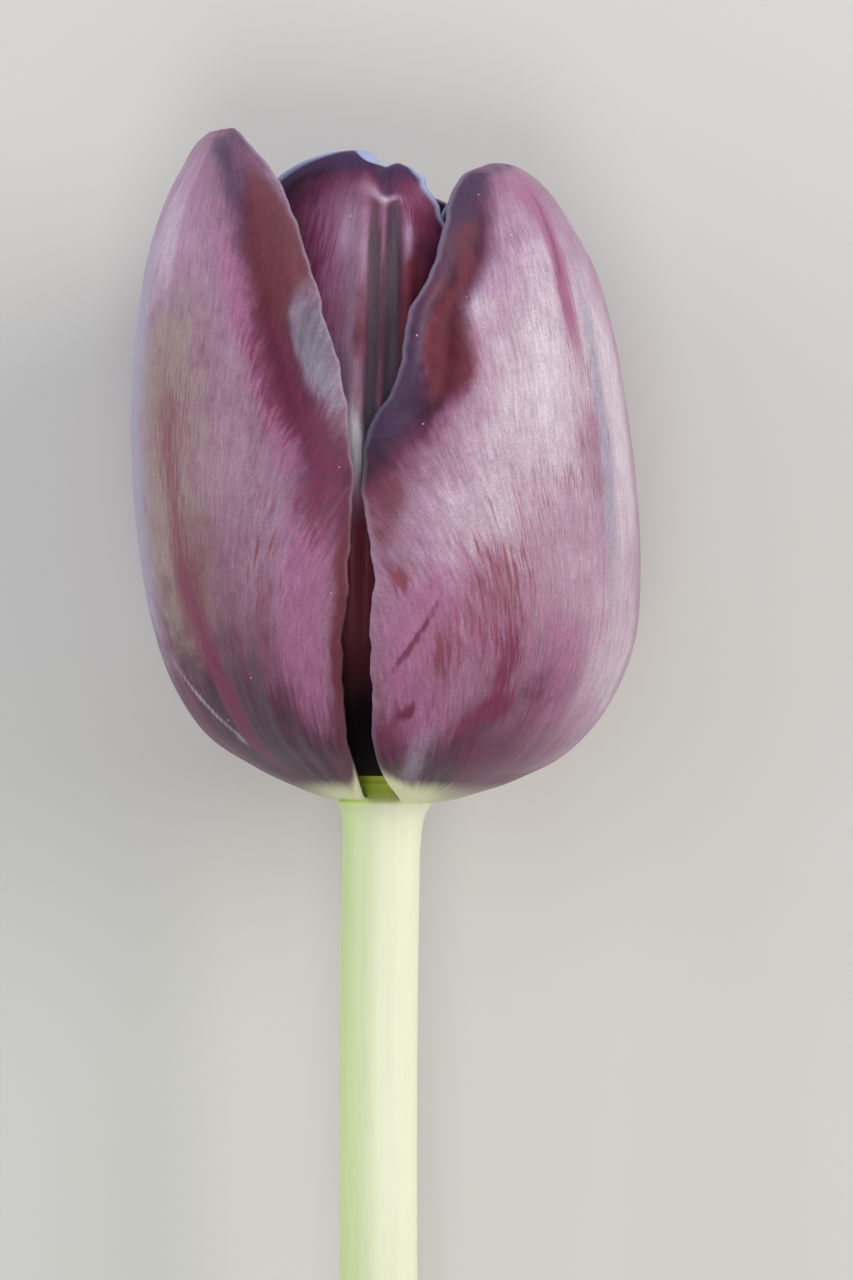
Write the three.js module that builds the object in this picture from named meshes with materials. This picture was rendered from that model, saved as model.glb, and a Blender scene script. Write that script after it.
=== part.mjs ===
// A single late tulip, cut and laid on its side: a stem with its receptacle, three outer
// and three inner tepals, six stamens and a pistil.
// Millimetres, +Y along the stem to the tip of the bloom, +Z up from the surface it lies on.
import * as THREE from 'three';

// Driving dimensions of the whole flower
const OVERALL = 300; // cut end of the stem to the tip of the longest tepal
const BLOOM_HEIGHT = 70.8; // seat of the tepals to that tip
const SEAT_Y = OVERALL / 2 - BLOOM_HEIGHT; // the seat, where the tepals leave the stem
const AXIS_Z = 26.9; // axis of the bloom above the surface
const CUT_Y = -OVERALL / 2; // lowest point of the cut end

// Stem and receptacle
const STEM_RADIUS = 4.15; // below the bloom
const STEM_FOOT_RADIUS = 4.6; // at the cut end
const NECK_S = -6; // where it starts to widen, measured from the seat
const NECK_LEAN = -0.55; // how far it stands sideways there
// Radius and height of the flare under the tepals, and of the receptacle that they grow from
const CROWN = [
  [4.16, -4.9], [4.19, -3.9], [4.25, -3.1], [4.34, -2.3], [4.49, -1.6], [4.7, -1.05], [4.95, -0.7],
  [5.1, -0.55], [4.9, -0.45], [4.05, -0.3], [4.0, 1.9], [3.7, 2.2], [3.65, 3.6], [2.9, 4.4],
];
const STEM_DRIFT = 3.5; // sideways bend at the cut end
const STEM_SAG = 4.5; // height of the stem's axis where it lies on the surface
const CUT_SLANT = 1.6; // the cut's slope, as its rise from edge to axis
const STEM_SIDES = 18;
const STEM_STEPS = 28;

// Tepal blades
const ROOT_THICKNESS = 1.2;
const MID_THICKNESS = 0.85;
const MARGIN_THICKNESS = 0.62;
const TEPAL_COLUMNS = 20;
const TEPAL_ROWS = 26;

// Each station of a tepal, from its root to its tip: height above the seat, radius from the
// axis of the bloom, degrees round to the left edge, degrees round to the right edge.
// A crease is a ridge (height above 0) or a valley along the blade, between two heights. Its
// distance is from the left or the right edge, or from the midrib, and offset, width and height
// are read along its run. Steep narrows it on the side away from the edge.
// Crowd draws the columns of the mesh together at the edges, or below 0 at the midrib.
const SHALLOW_MIDRIB = { line: 'midrib', start: 8, end: 64, offset: [0], width: [1.6], height: [0, -0.3, 0] };

const OUTER_LEFT = {
  azimuth: -60, twist: 0, crowd: 0.5,
  stations: [
    [0.15, 4.4, 40, 34], [0.25, 6.4, 45, 38], [1.3, 9.4, 49, 43], [3.5, 14, 53, 46.4],
    [7.2, 19.4, 54.5, 47.4], [13.5, 23.3, 55, 48.2], [21.5, 25.6, 54.5, 50.5], [31, 26.9, 53, 52.4],
    [40.5, 27.3, 51, 51.9], [49.5, 26.8, 47, 47.4], [57, 25.7, 42, 40.5], [62.6, 24.2, 35, 35],
    [66.8, 22.3, 26, 24.5], [69.6, 20.9, 17, 14.5], [BLOOM_HEIGHT, 20.1, 9, 7],
  ],
  creases: [
    {
      line: 'right', start: 24, end: 70, offset: [1.6, 4.8, 6.8, 5.8, 2.6],
      width: [2.4, 3.2, 3.8, 4.4, 2.8], height: [0, -1.6, -2.8, -2.2, 0], steep: 0.45,
    },
    {
      line: 'right', start: 36, end: 57, offset: [0.8, 1.8, 2.4, 1], width: [1.6, 2.6, 2.8, 1.6],
      height: [0, 1.3, 1.3, 0],
    },
    {
      line: 'right', start: 2, end: 36, offset: [0], width: [2.4, 3.4, 3.4, 2.6],
      height: [0, -0.9, -0.8, 0],
    },
    SHALLOW_MIDRIB,
  ],
  notches: [],
};

const OUTER_RIGHT = {
  azimuth: 57, twist: 0, crowd: 0.5,
  stations: [
    [0, 4.4, 40, 42], [-0.15, 6.4, 42, 46], [0.75, 9.8, 50, 48], [2.2, 14, 56, 50],
    [5, 19.3, 59.4, 54], [10, 23.7, 60, 56.5], [17, 26.6, 59.8, 57], [25.5, 27.2, 59.4, 56.5],
    [34, 26.7, 62.3, 55.5], [38.5, 26.2, 60.3, 54], [44, 25.4, 54, 52], [50, 24.3, 51.2, 49],
    [57, 22.2, 42.6, 43], [62.4, 19.3, 36.4, 35], [65.6, 16.9, 28, 24], [67, 15.4, 15, 13],
    [67.4, 14.8, 5, 4],
  ],
  creases: [
    {
      line: 'left', start: 34, end: 66, offset: [5, 5.4, 4.6, 4.6, 2.4],
      width: [2.4, 3, 2.8, 3, 2.2], height: [0, -2.1, -2.2, -1.4, 0], steep: 0.45,
    },
    {
      line: 'left', start: 38, end: 58, offset: [1, 1.6, 1.8, 1], width: [1.6, 2, 2.2, 1.6],
      height: [0, 0.8, 1, 0],
    },
    { line: 'left', start: 28, end: 46, offset: [0], width: [2.8], height: [0, -1.2, 0] },
    { line: 'left', start: 2, end: 34, offset: [0], width: [2.2, 3.2, 3, 2.2], height: [0, -0.8, -0.6, 0] },
    SHALLOW_MIDRIB,
  ],
  notches: [],
};

const OUTER_UNDER = {
  azimuth: 180, twist: 0, crowd: 0,
  stations: [
    [0.2, 4.4, 38, 38], [0.1, 6.4, 43, 43], [1.1, 9.6, 49, 49], [3, 14, 55, 55],
    [6.2, 19.3, 59, 60], [12, 24, 61, 62], [20, 27.2, 61.5, 62.5], [30, 28, 61.5, 62],
    [40, 27.3, 60, 59], [49.5, 25.4, 55, 54], [57, 23, 46, 46], [62, 20.2, 35, 36],
    [65, 17.6, 23, 24], [66.3, 16, 12, 12], [66.7, 15.4, 4, 4],
  ],
  creases: [SHALLOW_MIDRIB],
  notches: [],
};

const grooveAt = (offset, width) => (
  { line: 'midrib', start: 8, end: 66, offset: [offset], width: [width], height: [0, -0.7, -0.7, -0.5, 0] });
const ridgeAt = (offset, width) => (
  { line: 'midrib', start: 16, end: 68, offset: [offset], width: [width], height: [0, 0.4, 0.5, 0.5, 0] });

const INNER_FRONT = {
  azimuth: -1, twist: 5, crowd: -0.6,
  stations: [
    [2.9, 4.05, 30, 30], [2.7, 6.2, 36, 36], [3.7, 9.6, 42, 42], [6.2, 13.8, 46, 46],
    [11, 18.2, 48, 48], [18, 21.4, 50, 50], [27, 22.9, 51, 51], [37, 23, 51, 51],
    [47, 21.7, 52, 46], [54.5, 19.8, 54, 34], [60, 17.6, 56, 21], [64, 15.5, 57, 17.6],
    [66.7, 13.7, 49, 15.4], [68.3, 12, 33, 12], [68.7, 10.2, 20, 7],
  ],
  creases: [
    grooveAt(-1.2, 0.75), grooveAt(0.8, 0.8), ridgeAt(2.3, 0.8), ridgeAt(-2.8, 0.9),
    { line: 'midrib', start: 18, end: 56, offset: [0], width: [4.5], height: [0, 0.8, 0] },
    { line: 'midrib', start: 32, end: 64, offset: [7], width: [3.4], height: [0, -1, -1.3, -0.8, 0] },
  ],
  notches: [{ at: -0.4, width: 1, depth: 1.3 }, { at: 2.4, width: 2.4, depth: 1.7 }],
};

const INNER_RIGHT = {
  azimuth: 120, twist: 0, crowd: -0.6,
  stations: [
    [2.9, 4.05, 30, 30], [2.7, 6.2, 36, 36], [3.7, 9.6, 42, 42], [6.2, 13.8, 46, 46],
    [11, 18.4, 49, 49], [18, 21.8, 52, 52], [27, 23.6, 53, 53], [37, 24, 53, 53],
    [47, 23, 50, 50], [55.5, 21, 44, 47], [61, 18.6, 36, 43], [64.6, 16.4, 25, 37],
    [66.3, 14.8, 13, 25], [66.8, 14.2, 4, 9],
  ],
  creases: [grooveAt(-1.1, 0.8), grooveAt(1.1, 0.8)],
  notches: [],
};

const INNER_LEFT = {
  ...INNER_RIGHT, azimuth: 240,
  stations: INNER_RIGHT.stations.map(([s, radius, left, right]) => [s * 0.975, radius, left, right]),
};

// Stamens and pistil
const STAMEN_COUNT = 6;
const STAMEN_CIRCLE = 2.5; // radius of the ring that they stand on
const STAMEN_FOOT_S = 4.75;
const FILAMENT_LENGTH = 9.5;
const FILAMENT_RADIUS = 0.75;
const ANTHER_LENGTH = 13;
const ANTHER_RADIUS = 1.7;
const STAMEN_SPLAY = 6; // how far a stamen's tip stands out from its foot
const OVARY_RADIUS = 1.3; // at its foot, between the filaments
const OVARY_BELLY = 3.1;
const OVARY_LENGTH = 22;
const STIGMA_RADIUS = 5;
const STIGMA_LENGTH = 4;
const PISTIL_FOOT_S = 4.75;

const clamp01 = (x) => Math.min(Math.max(x, 0), 1);
const mix = (a, b, t) => a + (b - a) * t;
const radians = THREE.MathUtils.degToRad;
const smooth = (a, b, x) => {
  const t = clamp01((x - a) / (b - a));
  return t * t * (3 - 2 * t);
};
const bump = (x, width) => Math.exp(-((x / width) ** 2));

// A smooth curve through evenly spaced numbers (Catmull-Rom), read at t from 0 to 1
function through(values, t) {
  const last = values.length - 1;
  const x = clamp01(t) * last;
  const i = Math.max(Math.min(Math.floor(x), last - 1), 0);
  const w = x - i;
  const [p0, p1, p2, p3] = [i - 1, i, i + 1, i + 2].map((k) => values[Math.min(Math.max(k, 0), last)]);
  const v0 = (p2 - p0) / 2;
  const v1 = (p3 - p1) / 2;
  return ((2 * p1 - 2 * p2 + v0 + v1) * w + (3 * p2 - 3 * p1 - 2 * v0 - v1)) * w * w + v0 * w + p1;
}

// The bloom's own frame: x to the right, s up the bloom from the seat, d out to the front
const fromBloom = (x, s, d) => new THREE.Vector3(x, SEAT_Y + s, AXIS_Z + d);

// How far a crease moves the blade outwards, at a distance from its line and at a height
function creaseRelief(crease, distance, s) {
  const t = (s - crease.start) / (crease.end - crease.start);
  if (t <= 0 || t >= 1) return 0;
  const apart = distance - through(crease.offset, t);
  const width = through(crease.width, t) * (apart > 0 ? crease.steep ?? 1 : 1);
  return through(crease.height, t) * bump(apart, width);
}

// A point of a tepal's outer face, u from -1 at its left edge to 1 at its right, v from root to tip
function tepalPoint(tepal, u, v) {
  const [s, radius, left, right] = [0, 1, 2, 3].map((k) => through(tepal.stations.map((st) => st[k]), v));
  const turn = (2 * u * left * right) / (left + right - u * (right - left));
  const reach = radians(1) * radius;
  const distances = { left: (left + turn) * reach, right: (right - turn) * reach, midrib: turn * reach };
  const relief = tepal.creases.map((crease) => creaseRelief(crease, distances[crease.line], s));
  const r = relief.reduce((sum, part) => sum + part, radius);
  const dips = tepal.notches.map(({ at, width, depth }) => depth * bump(distances.midrib - at, width));
  const height = s - dips.reduce((sum, dip) => sum + dip, 0) * smooth(0.75, 1, v);
  const angle = radians(tepal.azimuth + turn + tepal.twist * (s / BLOOM_HEIGHT - 0.5));
  return fromBloom(r * Math.sin(angle), height, r * Math.cos(angle));
}

// The outward normal there, from small steps across and along the blade
function tepalNormal(tepal, u, v) {
  const step = 0.01;
  const at = Math.min(v, 0.985);
  const across = tepalPoint(tepal, u + step, at).sub(tepalPoint(tepal, u - step, at));
  const along = tepalPoint(tepal, u, at + step).sub(tepalPoint(tepal, u, at - step));
  return along.cross(across).negate().normalize();
}

function tepalThickness(u, v) {
  const body = mix(ROOT_THICKNESS, MID_THICKNESS, smooth(0.05, 0.4, v));
  return mix(body, MARGIN_THICKNESS, Math.max(smooth(0.5, 1, Math.abs(u)), smooth(0.85, 1, v)));
}

function meshFrom(name, points, triangles, material) {
  const geometry = new THREE.BufferGeometry();
  const positions = points.flatMap((p) => [p.x, p.y, p.z]);
  geometry.setAttribute('position', new THREE.Float32BufferAttribute(positions, 3));
  geometry.setIndex(triangles);
  geometry.computeVertexNormals();
  const mesh = new THREE.Mesh(geometry, material);
  mesh.name = name;
  return mesh;
}

// One tepal: an outer and an inner face on the same grid, joined all round by a narrow rim.
// Where it presses on the surface it lies flat.
function tepal(name, shape, material) {
  const points = [];
  for (const inner of [false, true]) {
    for (let row = 0; row <= TEPAL_ROWS; row += 1) {
      for (let column = 0; column <= TEPAL_COLUMNS; column += 1) {
        const w = (2 * column) / TEPAL_COLUMNS - 1;
        const u = w + (shape.crowd * Math.sin(Math.PI * w)) / Math.PI;
        const v = row / TEPAL_ROWS;
        const thickness = tepalThickness(u, v);
        const point = tepalPoint(shape, u, v);
        if (inner) point.addScaledVector(tepalNormal(shape, u, v), -thickness);
        point.z = Math.max(point.z, inner ? thickness : 0);
        points.push(point);
      }
    }
  }
  const wide = TEPAL_COLUMNS + 1;
  const faceSize = wide * (TEPAL_ROWS + 1);
  const triangles = [];
  const quad = (a, b, c, d) => triangles.push(a, b, c, a, c, d);
  for (let row = 0; row < TEPAL_ROWS; row += 1) {
    for (let column = 0; column < TEPAL_COLUMNS; column += 1) {
      const a = row * wide + column;
      triangles.push(a, a + 1, a + wide + 1, a, a + wide + 1, a + wide);
      const b = a + faceSize;
      triangles.push(b, b + wide + 1, b + 1, b, b + wide, b + wide + 1);
    }
    const left = row * wide;
    const right = left + TEPAL_COLUMNS;
    quad(left, left + wide, left + wide + faceSize, left + faceSize);
    quad(right, right + faceSize, right + wide + faceSize, right + wide);
  }
  const top = TEPAL_ROWS * wide;
  for (let column = 0; column < TEPAL_COLUMNS; column += 1) {
    quad(column, column + faceSize, column + 1 + faceSize, column + 1);
    quad(top + column, top + column + 1, top + column + 1 + faceSize, top + column + faceSize);
  }
  return meshFrom(name, points, triangles, material);
}

// A closed round body: rings of points between a first and a last single point
function ringBody(name, rings, first, last, material) {
  const sides = rings[0].length;
  const points = [first, ...rings.flat(), last];
  const triangles = [];
  for (let k = 0; k < sides; k += 1) {
    const next = (k + 1) % sides;
    triangles.push(0, 1 + next, 1 + k);
    for (let ring = 0; ring < rings.length - 1; ring += 1) {
      const low = 1 + ring * sides;
      const high = low + sides;
      triangles.push(low + k, low + next, high + next, low + k, high + next, high + k);
    }
    const rim = 1 + (rings.length - 1) * sides;
    triangles.push(points.length - 1, rim + k, rim + next);
  }
  return meshFrom(name, points, triangles, material);
}

// The stem's axis from the cut end (t = 0) to the neck (t = 1): level under the bloom,
// it sinks in a gentle bend until it lies on the surface
const stemAxis = new THREE.CubicBezierCurve3(
  new THREE.Vector3(STEM_DRIFT, CUT_Y, STEM_SAG),
  new THREE.Vector3(STEM_DRIFT * 0.9, CUT_Y + 95, STEM_SAG - 0.6),
  new THREE.Vector3(NECK_LEAN * 4, SEAT_Y - 95, AXIS_Z),
  new THREE.Vector3(NECK_LEAN, SEAT_Y + NECK_S, AXIS_Z),
);

function stem(material) {
  const ringAt = (centre, radius, slant = 0) => {
    const ring = [];
    for (let k = 0; k < STEM_SIDES; k += 1) {
      const angle = (2 * Math.PI * (k + 0.5)) / STEM_SIDES;
      const x = centre.x + radius * Math.sin(angle);
      const y = centre.y + slant * (1 + Math.cos(angle));
      ring.push(new THREE.Vector3(x, y, Math.max(centre.z + radius * Math.cos(angle), 0)));
    }
    return ring;
  };
  const rings = [];
  for (let step = 0; step <= STEM_STEPS; step += 1) {
    const t = step / STEM_STEPS;
    const radius = mix(STEM_FOOT_RADIUS, STEM_RADIUS, smooth(0, 0.8, t));
    rings.push(ringAt(stemAxis.getPointAt(t), radius, CUT_SLANT * (1 - smooth(0, 0.1, t))));
  }
  for (const [radius, s] of CROWN) {
    const lean = NECK_LEAN * Math.sqrt(Math.max(s / NECK_S, 0));
    rings.push(ringAt(fromBloom(lean, s, 0), radius));
  }
  const foot = stemAxis.getPointAt(0);
  foot.y += CUT_SLANT;
  const top = fromBloom(0, CROWN.at(-1)[1] + 0.05, 0);
  return ringBody('stem', rings, foot, top, material);
}

// One stamen: a slim filament that swells into a long two-lobed anther
function stamen(index, material) {
  const azimuth = radians((360 * (index + 0.5)) / STAMEN_COUNT);
  const sides = 8;
  const length = FILAMENT_LENGTH + ANTHER_LENGTH;
  const neck = FILAMENT_LENGTH / length;
  const profile = [
    [0, FILAMENT_RADIUS], [neck * 0.5, FILAMENT_RADIUS * 0.85], [neck * 0.97, FILAMENT_RADIUS * 0.5],
    [neck, ANTHER_RADIUS * 0.6], [neck + 0.06, ANTHER_RADIUS * 0.95], [neck + 0.2, ANTHER_RADIUS],
    [neck + 0.38, ANTHER_RADIUS * 0.92], [0.96, ANTHER_RADIUS * 0.7], [0.995, ANTHER_RADIUS * 0.35],
  ];
  const centre = (t) => ({ r: STAMEN_CIRCLE + STAMEN_SPLAY * t ** 0.8, s: STAMEN_FOOT_S + length * t });
  const place = (t, outward, sideways) => {
    const { r, s } = centre(t);
    const x = (r + outward) * Math.sin(azimuth) + sideways * Math.cos(azimuth);
    const d = (r + outward) * Math.cos(azimuth) - sideways * Math.sin(azimuth);
    return fromBloom(x, s, d);
  };
  const rings = profile.map(([t, radius]) => {
    const ring = [];
    for (let k = 0; k < sides; k += 1) {
      const angle = (2 * Math.PI * k) / sides;
      const groove = t > neck ? 1 - 0.3 * Math.abs(Math.cos(angle)) ** 3 : 1;
      ring.push(place(t, radius * groove * 0.8 * Math.cos(angle), radius * Math.sin(angle)));
    }
    return ring;
  });
  return ringBody(`stamen_${index + 1}`, rings, place(0, 0, 0), place(1, 0, 0), material);
}

// The pistil: a three-sided ovary under three spreading lobes of the stigma
function pistil(material) {
  const sides = 24;
  const top = PISTIL_FOOT_S + OVARY_LENGTH;
  // height, radius, how strongly the section is three-sided, how far the lobes arch up
  const profile = [
    [PISTIL_FOOT_S, OVARY_RADIUS, 0, 0], [PISTIL_FOOT_S + 2, OVARY_RADIUS * 1.25, 0.03, 0],
    [PISTIL_FOOT_S + 6, OVARY_BELLY * 0.86, 0.08, 0], [PISTIL_FOOT_S + 11, OVARY_BELLY, 0.1, 0],
    [PISTIL_FOOT_S + 17, OVARY_BELLY * 0.92, 0.1, 0], [top - 1, OVARY_BELLY * 0.8, 0.08, 0],
    [top, OVARY_BELLY * 0.95, 0.12, 0], [top + 1, STIGMA_RADIUS * 0.82, 0.24, -0.6],
    [top + 2.3, STIGMA_RADIUS, 0.28, -0.8], [top + 3.6, STIGMA_RADIUS * 0.86, 0.28, 0],
    [top + STIGMA_LENGTH, STIGMA_RADIUS * 0.5, 0.22, 0], [top + 3.1, STIGMA_RADIUS * 0.2, 0.1, 0],
  ];
  const rings = profile.map(([s, radius, lobed, arch]) => {
    const ring = [];
    for (let k = 0; k < sides; k += 1) {
      const angle = (2 * Math.PI * k) / sides;
      const r = radius * (1 + lobed * Math.cos(3 * angle));
      const height = s + (arch * (1 + Math.cos(3 * angle))) / 2;
      ring.push(fromBloom(r * Math.sin(angle), height, r * Math.cos(angle)));
    }
    return ring;
  });
  const foot = fromBloom(0, PISTIL_FOOT_S, 0);
  return ringBody('pistil', rings, foot, fromBloom(0, top + 2.6, 0), material);
}

const skin = (name, color, roughness) => (
  new THREE.MeshStandardMaterial({ name, color, roughness, metalness: 0 }));
const outerSkin = () => skin('tepal outer', 0x6d4560, 0.45);
const innerSkin = () => skin('tepal inner', 0x4a2436, 0.45);

const tulip = new THREE.Group();
tulip.add(
  stem(skin('stem', 0xc9d3a0, 0.5)),
  tepal('tepal_outer_left', OUTER_LEFT, outerSkin()),
  tepal('tepal_outer_right', OUTER_RIGHT, outerSkin()),
  tepal('tepal_outer_under', OUTER_UNDER, outerSkin()),
  tepal('tepal_inner_front', INNER_FRONT, innerSkin()),
  tepal('tepal_inner_right', INNER_RIGHT, innerSkin()),
  tepal('tepal_inner_left', INNER_LEFT, innerSkin()),
  pistil(skin('pistil', 0xb9c08a, 0.5)),
);
for (let index = 0; index < STAMEN_COUNT; index += 1) tulip.add(stamen(index, skin('stamen', 0x2a1a30, 0.7)));

export default tulip;
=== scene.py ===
"""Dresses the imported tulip: six waved tepals, stem, stamens and pistil, a pale floor and soft studio light.

Lengths in this file are millimetres unless a name says metres; MM turns them to Blender's metres.
The bloom has its own frame: x to the right, s up the bloom from the seat of the tepals, d out to the front.
"""
import logging
import math
from collections.abc import Callable
from dataclasses import dataclass, field
from enum import Enum
from functools import partial

import bpy
import numpy as np
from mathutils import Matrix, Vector


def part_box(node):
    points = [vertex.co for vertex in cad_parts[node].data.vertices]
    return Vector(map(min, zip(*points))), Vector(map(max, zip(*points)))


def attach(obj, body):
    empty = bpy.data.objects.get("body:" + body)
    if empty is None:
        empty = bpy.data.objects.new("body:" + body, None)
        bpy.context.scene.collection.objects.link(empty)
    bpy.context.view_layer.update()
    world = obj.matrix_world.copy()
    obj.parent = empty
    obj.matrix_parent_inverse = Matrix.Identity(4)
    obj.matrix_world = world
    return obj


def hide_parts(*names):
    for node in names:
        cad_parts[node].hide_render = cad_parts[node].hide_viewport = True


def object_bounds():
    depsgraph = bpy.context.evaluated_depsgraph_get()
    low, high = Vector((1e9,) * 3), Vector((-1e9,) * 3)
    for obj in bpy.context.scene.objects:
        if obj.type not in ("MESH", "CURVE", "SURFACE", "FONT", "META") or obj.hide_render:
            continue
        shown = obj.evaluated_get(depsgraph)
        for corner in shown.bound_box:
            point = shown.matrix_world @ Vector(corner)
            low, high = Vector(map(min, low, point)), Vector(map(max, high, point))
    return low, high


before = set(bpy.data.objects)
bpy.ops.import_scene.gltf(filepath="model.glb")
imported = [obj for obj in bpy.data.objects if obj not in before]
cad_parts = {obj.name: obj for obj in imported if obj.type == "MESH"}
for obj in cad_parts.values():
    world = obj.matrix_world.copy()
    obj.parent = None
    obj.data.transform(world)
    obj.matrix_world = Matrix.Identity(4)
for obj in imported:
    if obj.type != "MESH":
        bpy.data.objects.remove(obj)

Array = np.ndarray
Grids = dict[str, np.ndarray]
Span = tuple[float, float]
Shares = tuple[tuple[str, float], ...]
Piece = bpy.types.Object
Socket = bpy.types.NodeSocket
Sources = dict[str, Socket]
Add = Callable[..., Socket]

MM = 0.001
NOISE_SPAN = (0.3, 0.7)  # most of a noise's values lie between these
CAD_BOX = [list(corner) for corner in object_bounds()]
BLOOM_HEIGHT = 70.8
TIP_Y = CAD_BOX[1][1] / MM
CUT_Y = CAD_BOX[0][1] / MM
SEAT_Y = TIP_Y - BLOOM_HEIGHT
FULL_TURN = 2 * math.pi
STAMEN_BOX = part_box("stamen_2")
AXIS_Z = (STAMEN_BOX[0].z + STAMEN_BOX[1].z) / 2 / MM

log = logging.getLogger("tulip")


def srgb(hex_colour: str) -> tuple[float, float, float, float]:
    """Turns an sRGB hex colour to linear light: above the toe, ((c + 0.055) / 1.055) to the power 2.4.

    Args:
        hex_colour: six hexadecimal digits, with or without a leading #.

    Returns:
        Linear red, green and blue, and an alpha of 1.
    """
    digits = hex_colour.lstrip("#")
    channels = [int(digits[k:k + 2], 16) / 255 for k in (0, 2, 4)]
    linear = [c / 12.92 if c <= 0.04045 else ((c + 0.055) / 1.055) ** 2.4 for c in channels]
    return (*linear, 1.0)


def smooth(low: float, high: float, x: Array) -> Array:
    """Rises from 0 at low to 1 at high as 3t^2 - 2t^3."""
    t = np.clip((x - low) / (high - low), 0, 1)
    return t * t * (3 - 2 * t)


def through(values: float | tuple[float, ...], t: Array) -> Array:
    """Reads a smooth curve (Catmull-Rom) through evenly spaced numbers.

    Args:
        values: the numbers, evenly spaced from t = 0 to t = 1; one number holds all along.
        t: where to read it; outside 0 to 1 the end values hold.

    Returns:
        The curve's value at each t.
    """
    p = np.atleast_1d(np.asarray(values, float))
    last = len(p) - 1
    x = np.clip(t, 0, 1) * last
    i = np.clip(np.floor(x).astype(int), 0, max(last - 1, 0))
    w = x - i
    p0, p1, p2, p3 = p[np.maximum(i - 1, 0)], p[i], p[np.minimum(i + 1, last)], p[np.minimum(i + 2, last)]
    v0, v1 = (p2 - p0) / 2, (p3 - p1) / 2
    return ((2 * p1 - 2 * p2 + v0 + v1) * w + (3 * p2 - 3 * p1 - 2 * v0 - v1)) * w * w + v0 * w + p1


def from_bloom(x: Array, s: Array, d: Array) -> Array:
    """Places points of the bloom's frame in the part's frame: (x, SEAT_Y + s, AXIS_Z + d)."""
    return np.stack(np.broadcast_arrays(x, SEAT_Y + s, AXIS_Z + d), axis=-1)


class Side(Enum):
    """The line of a tepal that a crease or a wash keeps its distance from.

    Beside a vein the distance isn't in millimetres but in hundredths of the blade's half width.
    """

    LEFT = "left margin"
    RIGHT = "right margin"
    MIDRIB = "midrib"
    VEIN = "middle vein"


LEFT, RIGHT, MIDRIB, VEIN = Side


@dataclass(frozen=True)
class Run:
    """A soft line along a tepal, between two heights: a crease of the blade, or a wash of colour.

    Its section is value * exp(-((distance - offset) / width)^2), with the three read along its run;
    steep narrows the width on the side away from the margin.
    """

    side: Side
    start: float
    end: float
    offset: float | tuple[float, ...]
    width: float | tuple[float, ...]
    value: tuple[float, ...]
    steep: float = 1.0

    def read(self, distance: Array, s: Array) -> Array:
        """The run's value at a distance from its side and at a height."""
        t = (s - self.start) / (self.end - self.start)
        apart = distance - through(self.offset, t)
        width = through(self.width, t) * np.where(apart > 0, self.steep, 1.0)
        section = np.exp(-((apart / width) ** 2))
        return np.where((t > 0) & (t < 1), through(self.value, t) * section, 0.0)


class Tint(Enum):
    """What a wash or a patch turns the skin to."""

    DARK = "dark"
    PALE = "pale"
    RUSSET = "russet"
    MAGENTA = "magenta"
    VIOLET = "violet"
    SILVER = "silver"
    ASH = "ash"
    TAN = "tan"
    NIGHT = "night"
    FLECK = "fleck"
    CRIMSON = "crimson"
    CREAM = "cream"


DARK, PALE, RUSSET, MAGENTA, VIOLET, SILVER, ASH, TAN, NIGHT, FLECK, CRIMSON, CREAM = Tint


@dataclass(frozen=True)
class Patch:
    """A soft oval: strength * exp(-(a / wide)^2 - (b / tall)^2), a and b from its centre; lean shears it."""

    across: float
    along: float
    wide: float
    tall: float
    strength: float = 1.0
    lean: float = 0.0

    def read(self, across: Array, s: Array) -> Array:
        """The patch's strength over the blade."""
        b = s - self.along
        a = across - self.across - self.lean * b
        return self.strength * np.exp(-((a / self.wide) ** 2) - (b / self.tall) ** 2)


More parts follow.
